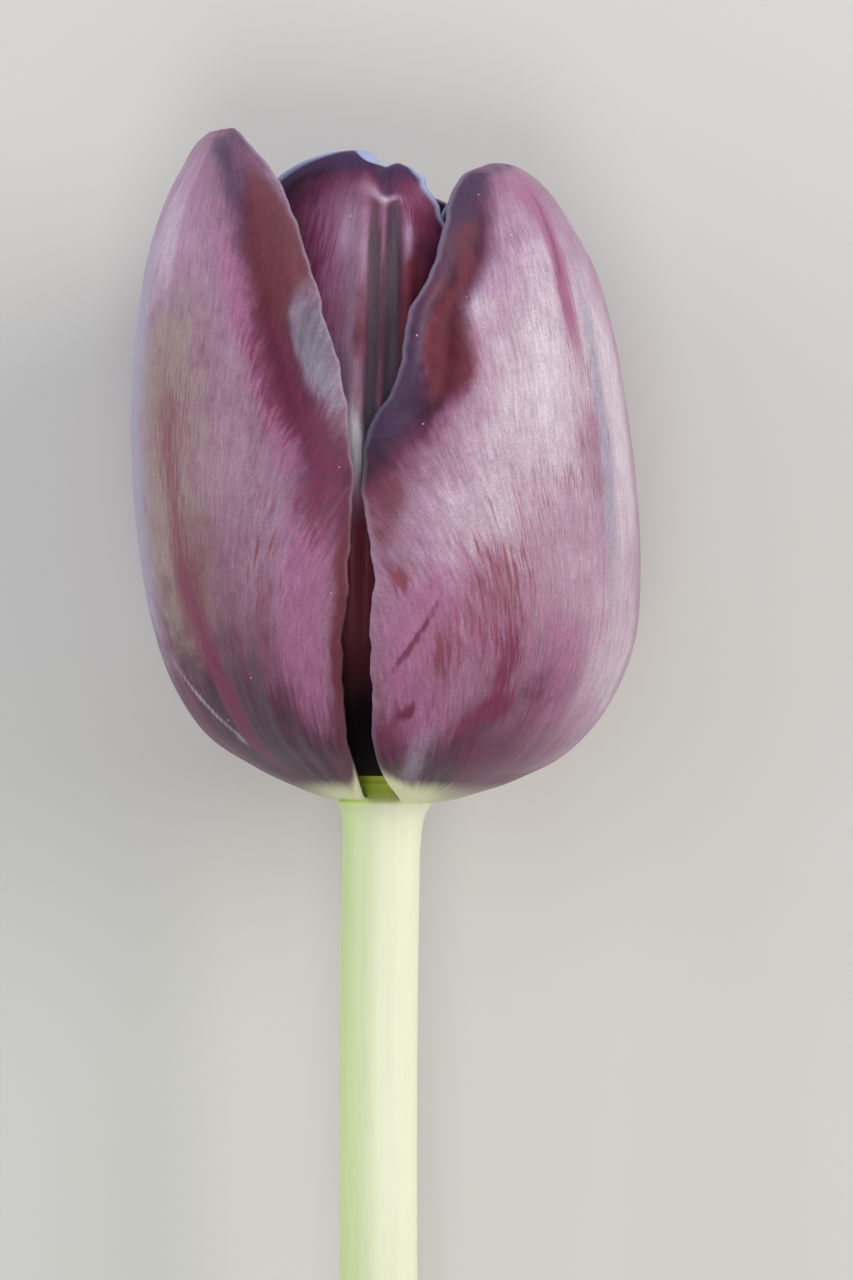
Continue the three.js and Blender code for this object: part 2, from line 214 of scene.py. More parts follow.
@dataclass
class Tepal:
    """One tepal: a thin blade that wraps the axis of the bloom.

    Each station, from root to tip, is (height above the seat, radius from the axis, degrees round
    to the left margin, degrees round to the right margin), and the blade follows smooth curves
    through them. Creases then move it in or out. Notches are (place across, width, depth), edge
    waves (wavelength, share), and spans named after a rise are read on v, from root to tip.
    """

    node: str
    slot: str
    azimuth: float
    seed: int
    stations: tuple[tuple[float, float, float, float], ...]
    creases: tuple[Run, ...] = ()
    washes: dict[Tint, tuple[Run, ...]] = field(default_factory=dict)
    patches: dict[Tint, tuple[Patch, ...]] = field(default_factory=dict)
    twist: float = 0.0
    notches: tuple[tuple[float, float, float], ...] = ()
    notch_rise: Span = (0.62, 0.9)
    ripple: float = 0.16
    ripple_lengths: tuple[float, ...] = (23.0, 13.0, 7.5, 4.1)
    ripple_reach: float = 3.0
    edge_wave: float = 0.12
    edge_waves: tuple[Span, ...] = ((11.0, 1.0), (6.3, 0.8), (3.7, 0.55), (2.1, 0.35))
    columns: int = 120
    rows: int = 190
    root_thickness: float = 1.2
    body_thickness: float = 0.75
    margin_thickness: float = 0.4

    def coordinates(self, u: Array, v: Array) -> Grids:
        """Reads the stations: height, radius, turn from the midrib and distances to the margins."""
        s, radius, left, right = (through(tuple(column), v) for column in zip(*self.stations))
        reach = np.radians(1) * radius
        rng = np.random.default_rng(self.seed + 100)
        for wavelength, share in self.edge_waves:
            wave = self.edge_wave * share * smooth(3, 12, s) / np.maximum(reach, 0.05)
            left = left + wave * np.sin(FULL_TURN * s / wavelength + rng.uniform(0, FULL_TURN))
            right = right + wave * np.sin(FULL_TURN * s / wavelength + rng.uniform(0, FULL_TURN))
        turn = 2 * u * left * right / (left + right - u * (right - left))
        return {"s": s, "radius": radius, "turn": turn, "across": turn * reach, "vein": 100 * u + 0 * s,
                "left": (left + turn) * reach, "right": (right - turn) * reach}

    def added(self, runs: tuple[Run, ...], c: Grids) -> Array:
        """Adds up runs, each read at the distance from its own side."""
        lines = {LEFT: c["left"], RIGHT: c["right"], MIDRIB: c["across"], VEIN: c["vein"]}
        return sum((run.read(lines[run.side], c["s"]) for run in runs), np.zeros_like(c["s"]))

    def ripples(self, c: Grids) -> Array:
        """A slight unevenness that grows towards the margins: a few sines of seeded phase along s."""
        rng = np.random.default_rng(self.seed)
        near = np.exp(-np.minimum(c["left"], c["right"]) / self.ripple_reach)
        side = np.sign(c["across"])
        wave = np.zeros_like(c["s"])
        for wavelength in self.ripple_lengths:
            phase = rng.uniform(0, FULL_TURN) + 1.7 * side
            share = (wavelength / self.ripple_lengths[0]) ** 0.7
            wave = wave + np.sin(FULL_TURN * c["s"] / wavelength + phase) * share
        return self.ripple * wave * near * smooth(4, 14, c["s"])

    def outer(self, u: Array, v: Array) -> Array:
        """The outer face: (r sin a, s, r cos a), with r the creased radius and a the azimuth and turn."""
        c = self.coordinates(u, v)
        r = c["radius"] + self.added(self.creases, c) + self.ripples(c)
        height = c["s"]
        for at, width, depth in self.notches:
            dip = depth * np.exp(-(((c["across"] - at) / width) ** 2))
            height = height - dip * smooth(*self.notch_rise, v)
        angle = np.radians(self.azimuth + c["turn"] + self.twist * (c["s"] / BLOOM_HEIGHT - 0.5))
        return from_bloom(r * np.sin(angle), height, r * np.cos(angle))

    def normals(self, u: Array, v: Array) -> Array:
        """Outward unit normals, from the cross product of small steps along and across the blade."""
        step = 0.004
        at = np.minimum(v, 0.99)
        across = self.outer(u + step, at) - self.outer(u - step, at)
        along = self.outer(u, at + step) - self.outer(u, at - step)
        normal = np.cross(across, along)
        return normal / np.linalg.norm(normal, axis=-1, keepdims=True)

    def thickness(self, u: Array, v: Array) -> Array:
        """Fleshy at the root, thin at the margins and the tip."""
        body = self.root_thickness + (self.body_thickness - self.root_thickness) * smooth(0.05, 0.4, v)
        thin = np.maximum(smooth(0.45, 1, np.abs(u)), smooth(0.85, 1, v))
        return body + (self.margin_thickness - body) * thin

    def tint(self, kind: Tint, c: Grids) -> Array:
        """The strength, from 0 to 1, of one tint over the blade."""
        total = self.added(self.washes.get(kind, ()), c)
        total = sum((patch.read(c["across"], c["s"]) for patch in self.patches.get(kind, ())), total)
        return np.clip(total, 0, 1)

    def edge_distance(self, outer: Array, c: Grids) -> Array:
        """How near the painted edge highlight is: the least of 0.4 * left, 1.2 * right and 5 * the height
        below the tip.

        The shares make the painted highlight wide at the left margin, narrow at the right one and thin at the
        tip, as the light falls.
        """
        beside = np.minimum(0.4 * c["left"], 1.2 * c["right"])
        return np.minimum(beside, 5 * (outer[-1, :, 1] - outer[..., 1]))

    def veins(self, u: Array, s: Array) -> Array:
        """A coordinate that is constant along each vein, in millimetres at mid height.

        Veins follow the outline out of the root and then bend towards the margins:
        52 * u / (1 + 1.1 |u|) * (1 - 0.45 * rise), where the rise goes from 0 near the root to 1 at the tip.
        """
        return 52 * u / (1 + 1.1 * np.abs(u)) * (1 - 0.45 * smooth(8, BLOOM_HEIGHT, s))

    def build(self) -> Piece:
        """Builds the closed blade: outer and inner face on one grid, with a rounded rim between them."""
        u = np.linspace(-1, 1, self.columns + 1)[None, :]
        v = np.linspace(0, 1, self.rows + 1)[:, None]
        u, v = np.broadcast_arrays(u, v)
        thickness = self.thickness(u, v)
        normal = self.normals(u, v)
        outer = self.outer(u, v)
        inner = outer - normal * thickness[..., None]
        outer[..., 2] = np.maximum(outer[..., 2], 0.0)
        inner[..., 2] = np.maximum(inner[..., 2], thickness)
        shell = BladeShell(outer, inner)
        c = self.coordinates(u, v)
        piece = mesh_object(self.node + "_skin", shell.points() * MM, shell.quads().tolist())
        uv = np.stack([self.veins(u, c["s"]), c["s"]], axis=-1)
        set_uv(piece, "veins", shell.spread(uv))
        depth = self.added(self.creases, c)
        values = {
            # margin is the distance from the edge, weighted for the painted edge highlight
            "along": c["s"], "margin": self.edge_distance(outer, c),
            "valley": np.clip(-depth, 0, 2), "ridge": np.clip(depth, 0, 2),
            **{kind.value: self.tint(kind, c) for kind in Tint},
        }
        for name, value in values.items():
            set_attribute(piece, name, shell.spread(value))
        set_attribute(piece, "inside", shell.faces_inside())
        return finish_piece(piece, self.node)


@dataclass
class BladeShell:
    """Joins an outer and an inner grid of points into one closed shell.

    Rim points stand between the margins of the two faces, pushed out by a share of the blade's thickness.
    """

    outer: Array
    inner: Array
    roundness: float = 0.4

    def border(self) -> Array:
        """The grid indices of the margin, in order round the blade, starting at the root's left end."""
        rows, columns = self.outer.shape[:2]
        grid = np.arange(rows * columns).reshape(rows, columns)
        return np.concatenate([grid[0, :-1], grid[:-1, -1], grid[-1, :0:-1], grid[:0:-1, 0]])

    def points(self) -> Array:
        """Outer face, inner face, then the rim."""
        outer, inner = self.outer.reshape(-1, 3), self.inner.reshape(-1, 3)
        ring = self.border()
        middle = (outer[ring] + inner[ring]) / 2
        along = np.roll(middle, -1, axis=0) - np.roll(middle, 1, axis=0)
        thick = outer[ring] - inner[ring]
        out = np.cross(along, thick)
        out /= np.linalg.norm(out, axis=1, keepdims=True) + 1e-12
        rim = middle + out * np.linalg.norm(thick, axis=1, keepdims=True) * self.roundness
        rim[:, 2] = np.maximum(rim[:, 2], 0.0)
        return np.concatenate([outer, inner, rim])

    def quads(self) -> Array:
        """Quads of both faces and of the rim's two strips, all facing outwards."""
        rows, columns = self.outer.shape[:2]
        size = rows * columns
        grid = np.arange(size).reshape(rows, columns)
        a, b, c, d = grid[:-1, :-1], grid[:-1, 1:], grid[1:, 1:], grid[1:, :-1]
        face = np.stack([a, b, c, d], axis=-1).reshape(-1, 4)
        ring = self.border()
        after = np.roll(ring, -1)
        rim = 2 * size + np.arange(len(ring))
        rim_after = np.roll(rim, -1)
        upper = np.stack([after, ring, rim, rim_after], axis=-1)
        lower = np.stack([rim_after, rim, ring + size, after + size], axis=-1)
        return np.concatenate([face, face[:, ::-1] + size, upper, lower])

    def spread(self, value: Array) -> Array:
        """Copies a value on the grid to the outer face, the inner face and the rim."""
        flat = value.reshape(self.outer.shape[0] * self.outer.shape[1], -1)
        return np.concatenate([flat, flat, flat[self.border()]])

    def faces_inside(self) -> Array:
        """0 on the outer face, 1 on the inner face and 0.5 on the rim."""
        size = self.outer.shape[0] * self.outer.shape[1]
        return np.concatenate([np.zeros(size), np.ones(size), np.full(len(self.border()), 0.5)])


def mesh_object(name: str, points: Array, faces: list[list[int]]) -> Piece:
    """Makes a smooth-shaded object at the origin.

    Args:
        name: the piece's name.
        points: its vertices in metres, in the part's frame.
        faces: vertex indices, one list for each triangle or quad.

    Returns:
        The new object, linked to the scene.
    """
    mesh = bpy.data.meshes.new(name)
    mesh.from_pydata(points.tolist(), [], faces)
    mesh.polygons.foreach_set("use_smooth", np.ones(len(mesh.polygons), bool))
    mesh.update()
    piece = bpy.data.objects.new(name, mesh)
    bpy.context.scene.collection.objects.link(piece)
    return piece


def set_attribute(piece: Piece, name: str, values: Array) -> None:
    """Stores one number for each vertex, for the piece's material to read."""
    attribute = piece.data.attributes.new(name, "FLOAT", "POINT")
    attribute.data.foreach_set("value", np.ascontiguousarray(values, np.float32).ravel())


def set_uv(piece: Piece, name: str, values: Array) -> None:
    """Stores a UV map from one pair of numbers for each vertex."""
    mesh = piece.data
    corners = np.empty(len(mesh.loops), np.int32)
    mesh.loops.foreach_get("vertex_index", corners)
    layer = mesh.uv_layers.new(name=name)
    layer.data.foreach_set("uv", np.ascontiguousarray(values[corners], np.float32).ravel())


def finish_piece(piece: Piece, node: str) -> Piece:
    """Says what a piece rides on, hides the CAD node it stands for, and logs its vertex count."""
    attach(piece, "root")
    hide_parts(node)
    log.info("%s: %d vertices", piece.name, len(piece.data.vertices))
    return piece


def ring_faces(rings: int, sides: int) -> list[list[int]]:
    """Faces of a closed round body whose points are a first pole, rings of equal size and a last pole."""
    k = np.arange(sides)
    after = (k + 1) % sides
    first = np.stack([np.zeros_like(k), 1 + after, 1 + k], axis=-1)
    low = 1 + sides * np.arange(rings - 1)[:, None]
    walls = np.stack([low + k, low + after, low + sides + after, low + sides + k], axis=-1).reshape(-1, 4)
    rim = 1 + sides * (rings - 1)
    last = np.stack([np.full(sides, 1 + sides * rings), rim + k, rim + after], axis=-1)
    return first.tolist() + walls.tolist() + last.tolist()


def round_body(name: str, rings: Array, first: Array, last: Array) -> Piece:
    """Makes a closed body from rings of points, in millimetres, between two single points."""
    count, sides = rings.shape[:2]
    points = np.concatenate([first[None], rings.reshape(-1, 3), last[None]]) * MM
    return mesh_object(name, points, ring_faces(count, sides))


@dataclass
class Stem:
    """The stem with the receptacle at its top: a round section carried along a gentle bend.

    The crown is (radius, height above the seat) up the receptacle. At the cut end the axis stands
    drift to the side and sag above the surface; handle is how far the bend's end tangents reach.
    """

    radius: float = 4.15
    foot_radius: float = 4.6
    neck_s: float = -6.0
    neck_lean: float = -0.55
    crown: tuple[Span, ...] = (
        (4.16, -4.9), (4.19, -3.9), (4.25, -3.1), (4.34, -2.3), (4.49, -1.6), (4.7, -1.05), (4.98, -0.6),
        (5.05, -0.25), (4.9, 0.1), (4.65, 0.5), (4.38, 0.95), (4.15, 1.4), (4.02, 1.8), (3.8, 2.15),
        (3.65, 2.7), (3.6, 3.6), (2.9, 4.4))
    crown_steps: int = 70
    drift: float = 3.5
    sag: float = 4.5
    handle: float = 95.0
    slant: float = 1.6
    slant_end: float = 0.1
    taper_end: float = 0.8
    sides: int = 72
    steps: int = 260

    def axis(self, t: Array) -> Array:
        """A cubic Bezier curve from the cut end (t = 0) to the neck (t = 1)."""
        corners = np.array([
            [self.drift, CUT_Y, self.sag],
            [self.drift * 0.9, CUT_Y + self.handle, self.sag - 0.6],
            [self.neck_lean * 4, SEAT_Y - self.handle, AXIS_Z],
            [self.neck_lean, SEAT_Y + self.neck_s, AXIS_Z]])
        t = t[:, None]
        weights = [(1 - t) ** 3, 3 * t * (1 - t) ** 2, 3 * t * t * (1 - t), t ** 3]
        return sum(w * p for w, p in zip(weights, corners))

    def build(self) -> Piece:
        """Builds the stem, flat where it lies on the surface, with a slanted cut."""
        t = np.linspace(0, 1, self.steps)
        centre = self.axis(t)
        body = self.foot_radius + (self.radius - self.foot_radius) * smooth(0, self.taper_end, t)
        up = np.linspace(0, 1, self.crown_steps)
        crown_radius, s = (through(column, up) for column in zip(*self.crown))
        lean = self.neck_lean * np.sqrt(np.maximum(s / self.neck_s, 0))
        crown = from_bloom(lean, s, np.zeros_like(s))
        centre = np.concatenate([centre, crown])
        radius = np.concatenate([body, crown_radius])
        slant = np.concatenate([self.slant * (1 - smooth(0, self.slant_end, t)), np.zeros_like(s)])
        angle = FULL_TURN * np.arange(self.sides) / self.sides
        x = centre[:, None, 0] + radius[:, None] * np.sin(angle)
        y = centre[:, None, 1] + slant[:, None] * (1 + np.cos(angle))
        z = np.maximum(centre[:, None, 2] + radius[:, None] * np.cos(angle), 0)
        rings = np.stack([x, y, z], axis=-1)
        foot = centre[0] + [0, self.slant, 0]
        summit = SEAT_Y + self.crown[-1][1]
        top = np.array([0, summit + 0.05, AXIS_Z])
        piece = round_body("stem_skin", rings, foot, top)
        along = np.repeat(rings.mean(axis=1)[:, 1], self.sides)
        set_attribute(piece, "height", np.concatenate([[CUT_Y], along, [summit]]) - SEAT_Y)
        return finish_piece(piece, "stem")


@dataclass
class Stamen:
    """One stamen: a slim filament that swells into a long two-lobed anther.

    The stamens' feet stand on a circle round the pistil. Flatness thins the body towards the axis, and
    the groove parts the anther's two lobes by cutting 1 - groove * |cos a|^4 out of its section.
    """

    index: int
    count: int = 6
    circle: float = 2.5
    foot_s: float = 4.75
    filament: float = 9.5
    filament_radius: float = 0.75
    anther: float = 13.0
    anther_radius: float = 1.7
    splay: float = 6.0
    flatness: float = 0.8
    groove: float = 0.34
    sides: int = 28
    steps: int = 90

    def build(self) -> Piece:
        """Builds the stamen as one body; its centre line stands out by splay * t^0.8."""
        length = self.filament + self.anther
        neck = self.filament / length
        t = np.linspace(0, 0.998, self.steps)
        # Where along the length, and the share of the filament's or the anther's radius there
        stops = np.array([
            0, neck * 0.5, neck * 0.97, neck, neck + 0.06, neck + 0.2, neck + 0.38, 0.96, 0.995, 1])
        sizes = np.array([1, 0.85, 0.5, 0.6, 0.95, 1, 0.92, 0.7, 0.35, 0.1])
        sizes[:3] *= self.filament_radius
        sizes[3:] *= self.anther_radius
        radius = np.interp(t, stops, sizes)[:, None]
        on_anther = smooth(neck, neck + 0.04, t)[:, None]
        angle = FULL_TURN * np.arange(self.sides)[None, :] / self.sides
        groove = 1 - on_anther * self.groove * np.abs(np.cos(angle)) ** 4
        outward = radius * groove * self.flatness * np.cos(angle)
        sideways = radius * np.sin(angle)
        azimuth = math.radians(360 * (self.index + 0.5) / self.count)
        reach = self.circle + self.splay * t[:, None] ** 0.8 + outward
        x = reach * math.sin(azimuth) + sideways * math.cos(azimuth)
        d = reach * math.cos(azimuth) - sideways * math.sin(azimuth)
        rings = from_bloom(x, self.foot_s + length * t[:, None], d)
        name = f"stamen_{self.index + 1}"
        piece = round_body(name + "_skin", rings, rings[0].mean(axis=0), rings[-1].mean(axis=0))
        values = np.repeat(on_anther[:, 0], self.sides)
        set_attribute(piece, "anther", np.concatenate([[0], values, [1]]))
        return finish_piece(piece, name)


@dataclass
class Pistil:
    """The pistil: a three-sided ovary under three spreading lobes of the stigma."""

    foot_s: float = 4.75
    foot_radius: float = 1.3
    belly: float = 3.1
    ovary: float = 22.0
    stigma_radius: float = 5.0
    stigma: float = 4.0
    sides: int = 120
    steps: int = 140

    def build(self) -> Piece:
        """Builds the pistil; its section is radius * (1 + lobed * cos 3a), and the lobes arch down."""
        low, top = self.foot_s, self.foot_s + self.ovary
        # Height, radius, how three-sided the section is, and how far the lobes' tips arch down
        profile = (
            (low, self.foot_radius, 0, 0), (low + 2, self.foot_radius * 1.25, 0.03, 0),
            (low + 6, self.belly * 0.86, 0.08, 0), (low + 11, self.belly, 0.1, 0),
            (low + 17, self.belly * 0.92, 0.1, 0), (top - 1, self.belly * 0.8, 0.08, 0),
            (top, self.belly * 0.95, 0.12, 0), (top + 1, self.stigma_radius * 0.82, 0.24, -0.6),
            (top + 2.3, self.stigma_radius, 0.28, -0.8), (top + 3.6, self.stigma_radius * 0.86, 0.28, 0),
            (top + self.stigma, self.stigma_radius * 0.5, 0.22, 0),
            (top + 3.1, self.stigma_radius * 0.2, 0.1, 0))
        t = np.linspace(0, 1, self.steps)
        s, radius, lobed, arch = (through(tuple(column), t)[:, None] for column in zip(*profile))
        angle = FULL_TURN * np.arange(self.sides)[None, :] / self.sides
        r = radius * (1 + lobed * np.cos(3 * angle))
        height = s + arch * (1 + np.cos(3 * angle)) / 2
        rings = from_bloom(r * np.sin(angle), height, r * np.cos(angle))
        foot = from_bloom(np.array(0.0), np.array(low), np.array(0.0))
        crown = from_bloom(np.array(0.0), np.array(top + 2.6), np.array(0.0))
        piece = round_body("pistil_skin", rings, foot, crown)
        values = smooth(top - 0.5, top + 0.8, np.repeat(s[:, 0], self.sides))
        values = np.maximum(values, np.repeat(smooth(0.8, 0.85, t), self.sides))
        set_attribute(piece, "stigma", np.concatenate([[0], values, [1]]))
        return finish_piece(piece, "pistil")


def add_node(tree: bpy.types.NodeTree, kind: str, inputs: dict | tuple = (), out: int | str = 0,
             **settings: object) -> Socket | None:
    """Adds one node with its settings, and fills or links its inputs.

    Args:
        tree: the material's node tree.
        kind: the node's type name, without the ShaderNode that each starts with.
        inputs: values, or output sockets that feed them, in the node's order or by name or index.
        out: name or index of the output that is wanted.
        settings: properties of the node itself.

    Returns:
        That output, or None from a node without outputs.
    """
    node = tree.nodes.new("ShaderNode" + kind)
    for name, value in settings.items():
        setattr(node, name, value)
    for key, value in (inputs if isinstance(inputs, dict) else dict(enumerate(inputs))).items():
        if isinstance(value, Socket):
            tree.links.new(value, node.inputs[key])
        else:
            node.inputs[key].default_value = value
    return node.outputs[out] if node.outputs else None


def new_material(name: str) -> tuple[bpy.types.Material, Add]:
    """Makes an empty node material, and hands it back with the call that adds its nodes."""
    material = bpy.data.materials.new(name)
    material.use_nodes = True
    material.node_tree.nodes.clear()
    return material, partial(add_node, material.node_tree)


def summed(add: Add, of: Sources, shares: Shares, first: float | Socket, **settings: object) -> Socket:
    """Adds up named sources, each times its share, starting from a first value or output."""
    for key, share in shares:
        first = add("Math", (of[key], share, first), operation="MULTIPLY_ADD", **settings)
    return first


@dataclass(frozen=True)
class Layer:
    """One tint of the skin: where it shows is the tint's strength times gain, plus a noise, from low to high.

    A small gain with a narrow range breaks the tint up into flecks; a large one lays it on softly.
    """

    tint: Tint
    colour: str
    noise: str
    gain: float
    low: float
    high: float


@dataclass(frozen=True)
class TepalSkin:
    """Living petal skin: dark maroon cells under a dusty lilac bloom, with fine veins along it.

    The bloom is streaked by the veins; it lies paler on the open face, partly painted highlight, and darker
    in the folds, painted shade. The rows of cells give the skin a satin gloss and a soft sheen at the edges.
    Streaks are (name, width, length, detail) and clouds (name, size, detail), in millimetres; the rest pairs
    a source with its share.
    """

    name: str
    ramp: tuple[tuple[float, str], ...] = (
        (0.0, "#30112a"), (0.25, "#682f4a"), (0.5, "#90627a"), (0.75, "#b290a8"), (1.0, "#d2c4d0"))
    layers: tuple[Layer, ...] = (
        # SILVER and VIOLET mostly lay painted highlights and painted reflections of a cool sky
        Layer(SILVER, "#a59cb0", "mottle", 1.0, 0.45, 1.2),
        Layer(TAN, "#9d8a82", "mottle", 1.0, 0.45, 1.2),
        Layer(MAGENTA, "#a5698d", "vein", 1.0, 0.45, 1.2),
        Layer(VIOLET, "#432a4c", "mottle", 1.0, 0.45, 1.2),
        Layer(RUSSET, "#70313e", "mottle", 1.0, 0.4, 1.15),
        Layer(ASH, "#5a4c56", "stripe", 1.0, 0.45, 1.2),
        Layer(FLECK, "#803f50", "stroke", 0.6, 0.62, 1.04),
        Layer(CRIMSON, "#78304f", "stroke", 0.7, 0.56, 1.08))
    fade: float = 4.0
    # painted shade: the near black of the deep slit
    night: str = "#0b0508"
    cream: str = "#f6f7c6"
    cream_edge: Span = (-1.8, 1.5)
    cream_share: float = 0.95
    cream_pull: Shares = (("vein", -1.2), ("cream", -1.8))
    cream_margin: Span = (0.9, -2.4)
    heart_edge: Span = (2.0, 9.0)
    heart_share: float = 0.85
    inner_deep: str = "#2c0d1e"
    inner_wine: str = "#5b2340"
    turn: Span = (0.45, 0.95)
    # painted highlight along the edge: its colour, width, share and rise up the tepal
    rim: str = "#b9b4c6"
    rim_width: float = 0.24
    rim_share: float = 0.22
    rim_rise: Span = (18.0, 34.0)
    rim_low: float = 0.3
    speck: str = "#efe6e6"
    speck_pitch: float = 2.2
    speck_size: float = 0.05
    speck_rarity: float = 0.72
    speck_share: float = 0.5
    openness: float = 0.56
    streaks: tuple[tuple[str, float, float, float], ...] = (
        ("hair", 0.24, 2.2, 2.0), ("vein", 0.5, 5.5, 3.0), ("stroke", 0.3, 3.6, 3.0),
        ("stripe", 1.6, 20.0, 2.0), ("zone", 5.0, 40.0, 1.0))
    clouds: tuple[tuple[str, float, float], ...] = (("mottle", 3.5, 4.0), ("grain", 0.24, 2.0))
    swings: Shares = (("vein", 0.14), ("stripe", 0.16), ("zone", 0.2), ("mottle", 0.34))
    # painted shade in the creases and under the dark washes, painted highlight on the ridges and under the
    # pale washes; the washes also carry some of the skin's own tone
    wear: Shares = (("valley", -0.16), ("ridge", 0.06), ("dark", -0.5), ("pale", 0.55))
    dust: Shares = (("hair", 0.7), ("stroke", 0.5), ("grain", 0.8))
    dusted: float = 1.0
    dust_gain: float = 2.0
    bare: str = "#401330"
    relief: Shares = (("vein", 0.6), ("hair", 0.5), ("grain", 0.35))
    relief_strength: float = 0.4
    relief_depth: float = 0.12
    roughness: float = 0.44
    rough_swing: Span = (-0.05, 0.1)
    rough_wear: Shares = (("night", 0.5), ("valley", 0.14), ("pale", 0.1))
    ior: float = 1.42
    specular: float = 0.5
    sheen: float = 0.12
    sheen_roughness: float = 0.4
    sheen_tint: str = "#cfc6e0"

    def sources(self, add: Add) -> Sources:
        """Reads the tepal's attributes and makes its noises: streaks run on the map of veins."""
        names = ("along", "margin", "valley", "ridge", "inside", *(kind.value for kind in Tint))
        of = {key: add("Attribute", out="Fac", attribute_name=key) for key in names}
        veins = add("UVMap", uv_map="veins")
        of["where"] = add("TexCoord", out="Object")
        for key, pitch, length, detail in self.streaks:
            stretched = add("Mapping", {"Vector": veins, "Scale": (1 / pitch, 1 / length, 1.0)})
            of[key] = add("TexNoise", {"Vector": stretched, "Scale": 1.0, "Detail": detail, "Roughness": 0.6},
                          noise_dimensions="2D")
        for key, size, detail in self.clouds:
            of[key] = add("TexNoise", {
                "Vector": of["where"], "Scale": 1 / (size * MM), "Detail": detail, "Roughness": 0.6})
        return of

    def bloomed(self, add: Add, of: Sources) -> Socket:
        """Colours the skin by how thick the bloom lies, streaked, with painted shade in the folds and under
        the dark washes, and painted highlight on the ridges and under the pale washes.
        """
        first = self.openness - sum(share for _, share in self.swings) / 2
        ramp = add("ValToRGB", {"Fac": summed(add, of, self.swings + self.wear, first)}).node
        stops = ramp.color_ramp.elements
        while len(stops) < len(self.ramp):
            stops.new(0.5)
        for stop, (position, colour) in zip(stops, self.ramp):
            stop.position, stop.color = position, srgb(colour)
        return ramp.outputs["Color"]

    def tinted(self, add: Add, of: Sources, skin: Socket) -> Socket:
        """Lays the tints over the skin, one after the other."""
        for layer in self.layers:
            strength = of[layer.tint.value]
            total = add("Math", (strength, layer.gain, of[layer.noise]), operation="MULTIPLY_ADD")
            cover = add("MapRange", (total, layer.low, layer.high), interpolation_type="SMOOTHSTEP")
            fade = add("Math", (strength, self.fade), operation="MULTIPLY", use_clamp=True)
            share = add("Math", (cover, fade), operation="MULTIPLY")
            skin = add("Mix", {0: share, 6: skin, 7: srgb(layer.colour)}, 2, data_type="RGBA")
        return skin

    def dusty(self, add: Add, of: Sources, skin: Socket) -> Socket:
        """Fine strokes of bright dust, bare dark skin between them, and the painted shade of the deep slit,
        near black.
        """
        shares = tuple((key, self.dusted * share) for key, share in self.dust)
        lift = summed(add, of, shares, -sum(share for _, share in shares) / 2)
        bright = add("VectorMath", {0: skin, "Scale": self.dust_gain}, operation="SCALE")
        for sign, tone in ((1.0, bright), (-1.0, srgb(self.bare))):
            share = add("Math", (lift, sign), operation="MULTIPLY", use_clamp=True)
            skin = add("Mix", {0: share, 6: skin, 7: tone}, 2, data_type="RGBA")
        # painted shade: near black where the slit lies deep
        return add("Mix", {0: of["night"], 6: skin, 7: srgb(self.night)}, 2, data_type="RGBA")

    def rooted(self, add: Add, of: Sources, skin: Socket) -> Socket:
        """Cream at the root, higher beside the margins, and the darker, plainer face inside the cup."""
        width, pull = self.cream_margin
        beside = add("MapRange", (of["margin"], 0.0, width, pull, 0.0))
        reach = add("Math", (of["along"], summed(add, of, self.cream_pull, beside)), operation="ADD")
        root = add("MapRange", (reach, *self.cream_edge, self.cream_share, 0.0),
                   interpolation_type="SMOOTHSTEP")
        skin = add("Mix", {0: root, 6: skin, 7: srgb(self.cream)}, 2, data_type="RGBA")
        band = add("MapRange", (of["stripe"], *NOISE_SPAN))
        inner = add("Mix", {0: band, 6: srgb(self.inner_deep), 7: srgb(self.inner_wine)}, 2, data_type="RGBA")
        heart = add("MapRange", (reach, *self.heart_edge, self.heart_share, 0.0))
        inner = add("Mix", {0: heart, 6: inner, 7: srgb(self.cream)}, 2, data_type="RGBA")
        turned = add("MapRange", (of["inside"], *self.turn))
        return add("Mix", {0: turned, 6: skin, 7: inner}, 2, data_type="RGBA")

    def edged(self, add: Add, of: Sources, skin: Socket) -> Socket:
        """Paints a highlight along the very edge, and pale specks of pollen here and there."""
        # painted highlight: the rim colour laid along the edge, stronger higher up the tepal
        share = add("MapRange", (of["along"], *self.rim_rise, self.rim_low * self.rim_share, self.rim_share))
        edge = add("MapRange", (of["margin"], 0.0, self.rim_width, share, 0.0),
                   interpolation_type="SMOOTHSTEP")
        skin = add("Mix", {0: edge, 6: skin, 7: srgb(self.rim)}, 2, data_type="RGBA")
        away = add("TexVoronoi", {"Vector": of["where"], "Scale": 1 / (self.speck_pitch * MM)}, "Distance")
        dot = add("Math", (away, self.speck_size), operation="LESS_THAN")
        chosen = add("Math", (away.node.outputs["Color"], self.speck_rarity), operation="GREATER_THAN")
        speck = add("Math", (dot, chosen), operation="MULTIPLY")
        faint = add("Math", (speck, self.speck_share), operation="MULTIPLY")
        return add("Mix", {0: faint, 6: skin, 7: srgb(self.speck)}, 2, data_type="RGBA")

    def build(self) -> bpy.types.Material:
        """Builds the node tree: the colour, coat over coat, then the relief and the gloss."""
        material, add = new_material(self.name)
        of = self.sources(add)
        skin = self.bloomed(add, of)
        for coat in (self.tinted, self.dusty, self.rooted, self.edged):
            skin = coat(add, of, skin)
        bump = add("Bump", {"Strength": self.relief_strength, "Distance": self.relief_depth * MM,
                            "Height": summed(add, of, self.relief, 0.0)})
        swing = (self.roughness + change for change in self.rough_swing)
        rough = add("MapRange", (of["hair"], *NOISE_SPAN, *swing))
        shader = add("BsdfPrincipled", {
            "Base Color": skin, "Roughness": summed(add, of, self.rough_wear, rough, use_clamp=True),
            "IOR": self.ior, "Specular IOR Level": self.specular, "Sheen Weight": self.sheen,
            "Sheen Roughness": self.sheen_roughness, "Sheen Tint": srgb(self.sheen_tint), "Normal": bump})
        add("OutputMaterial", {"Surface": shader})
        return material


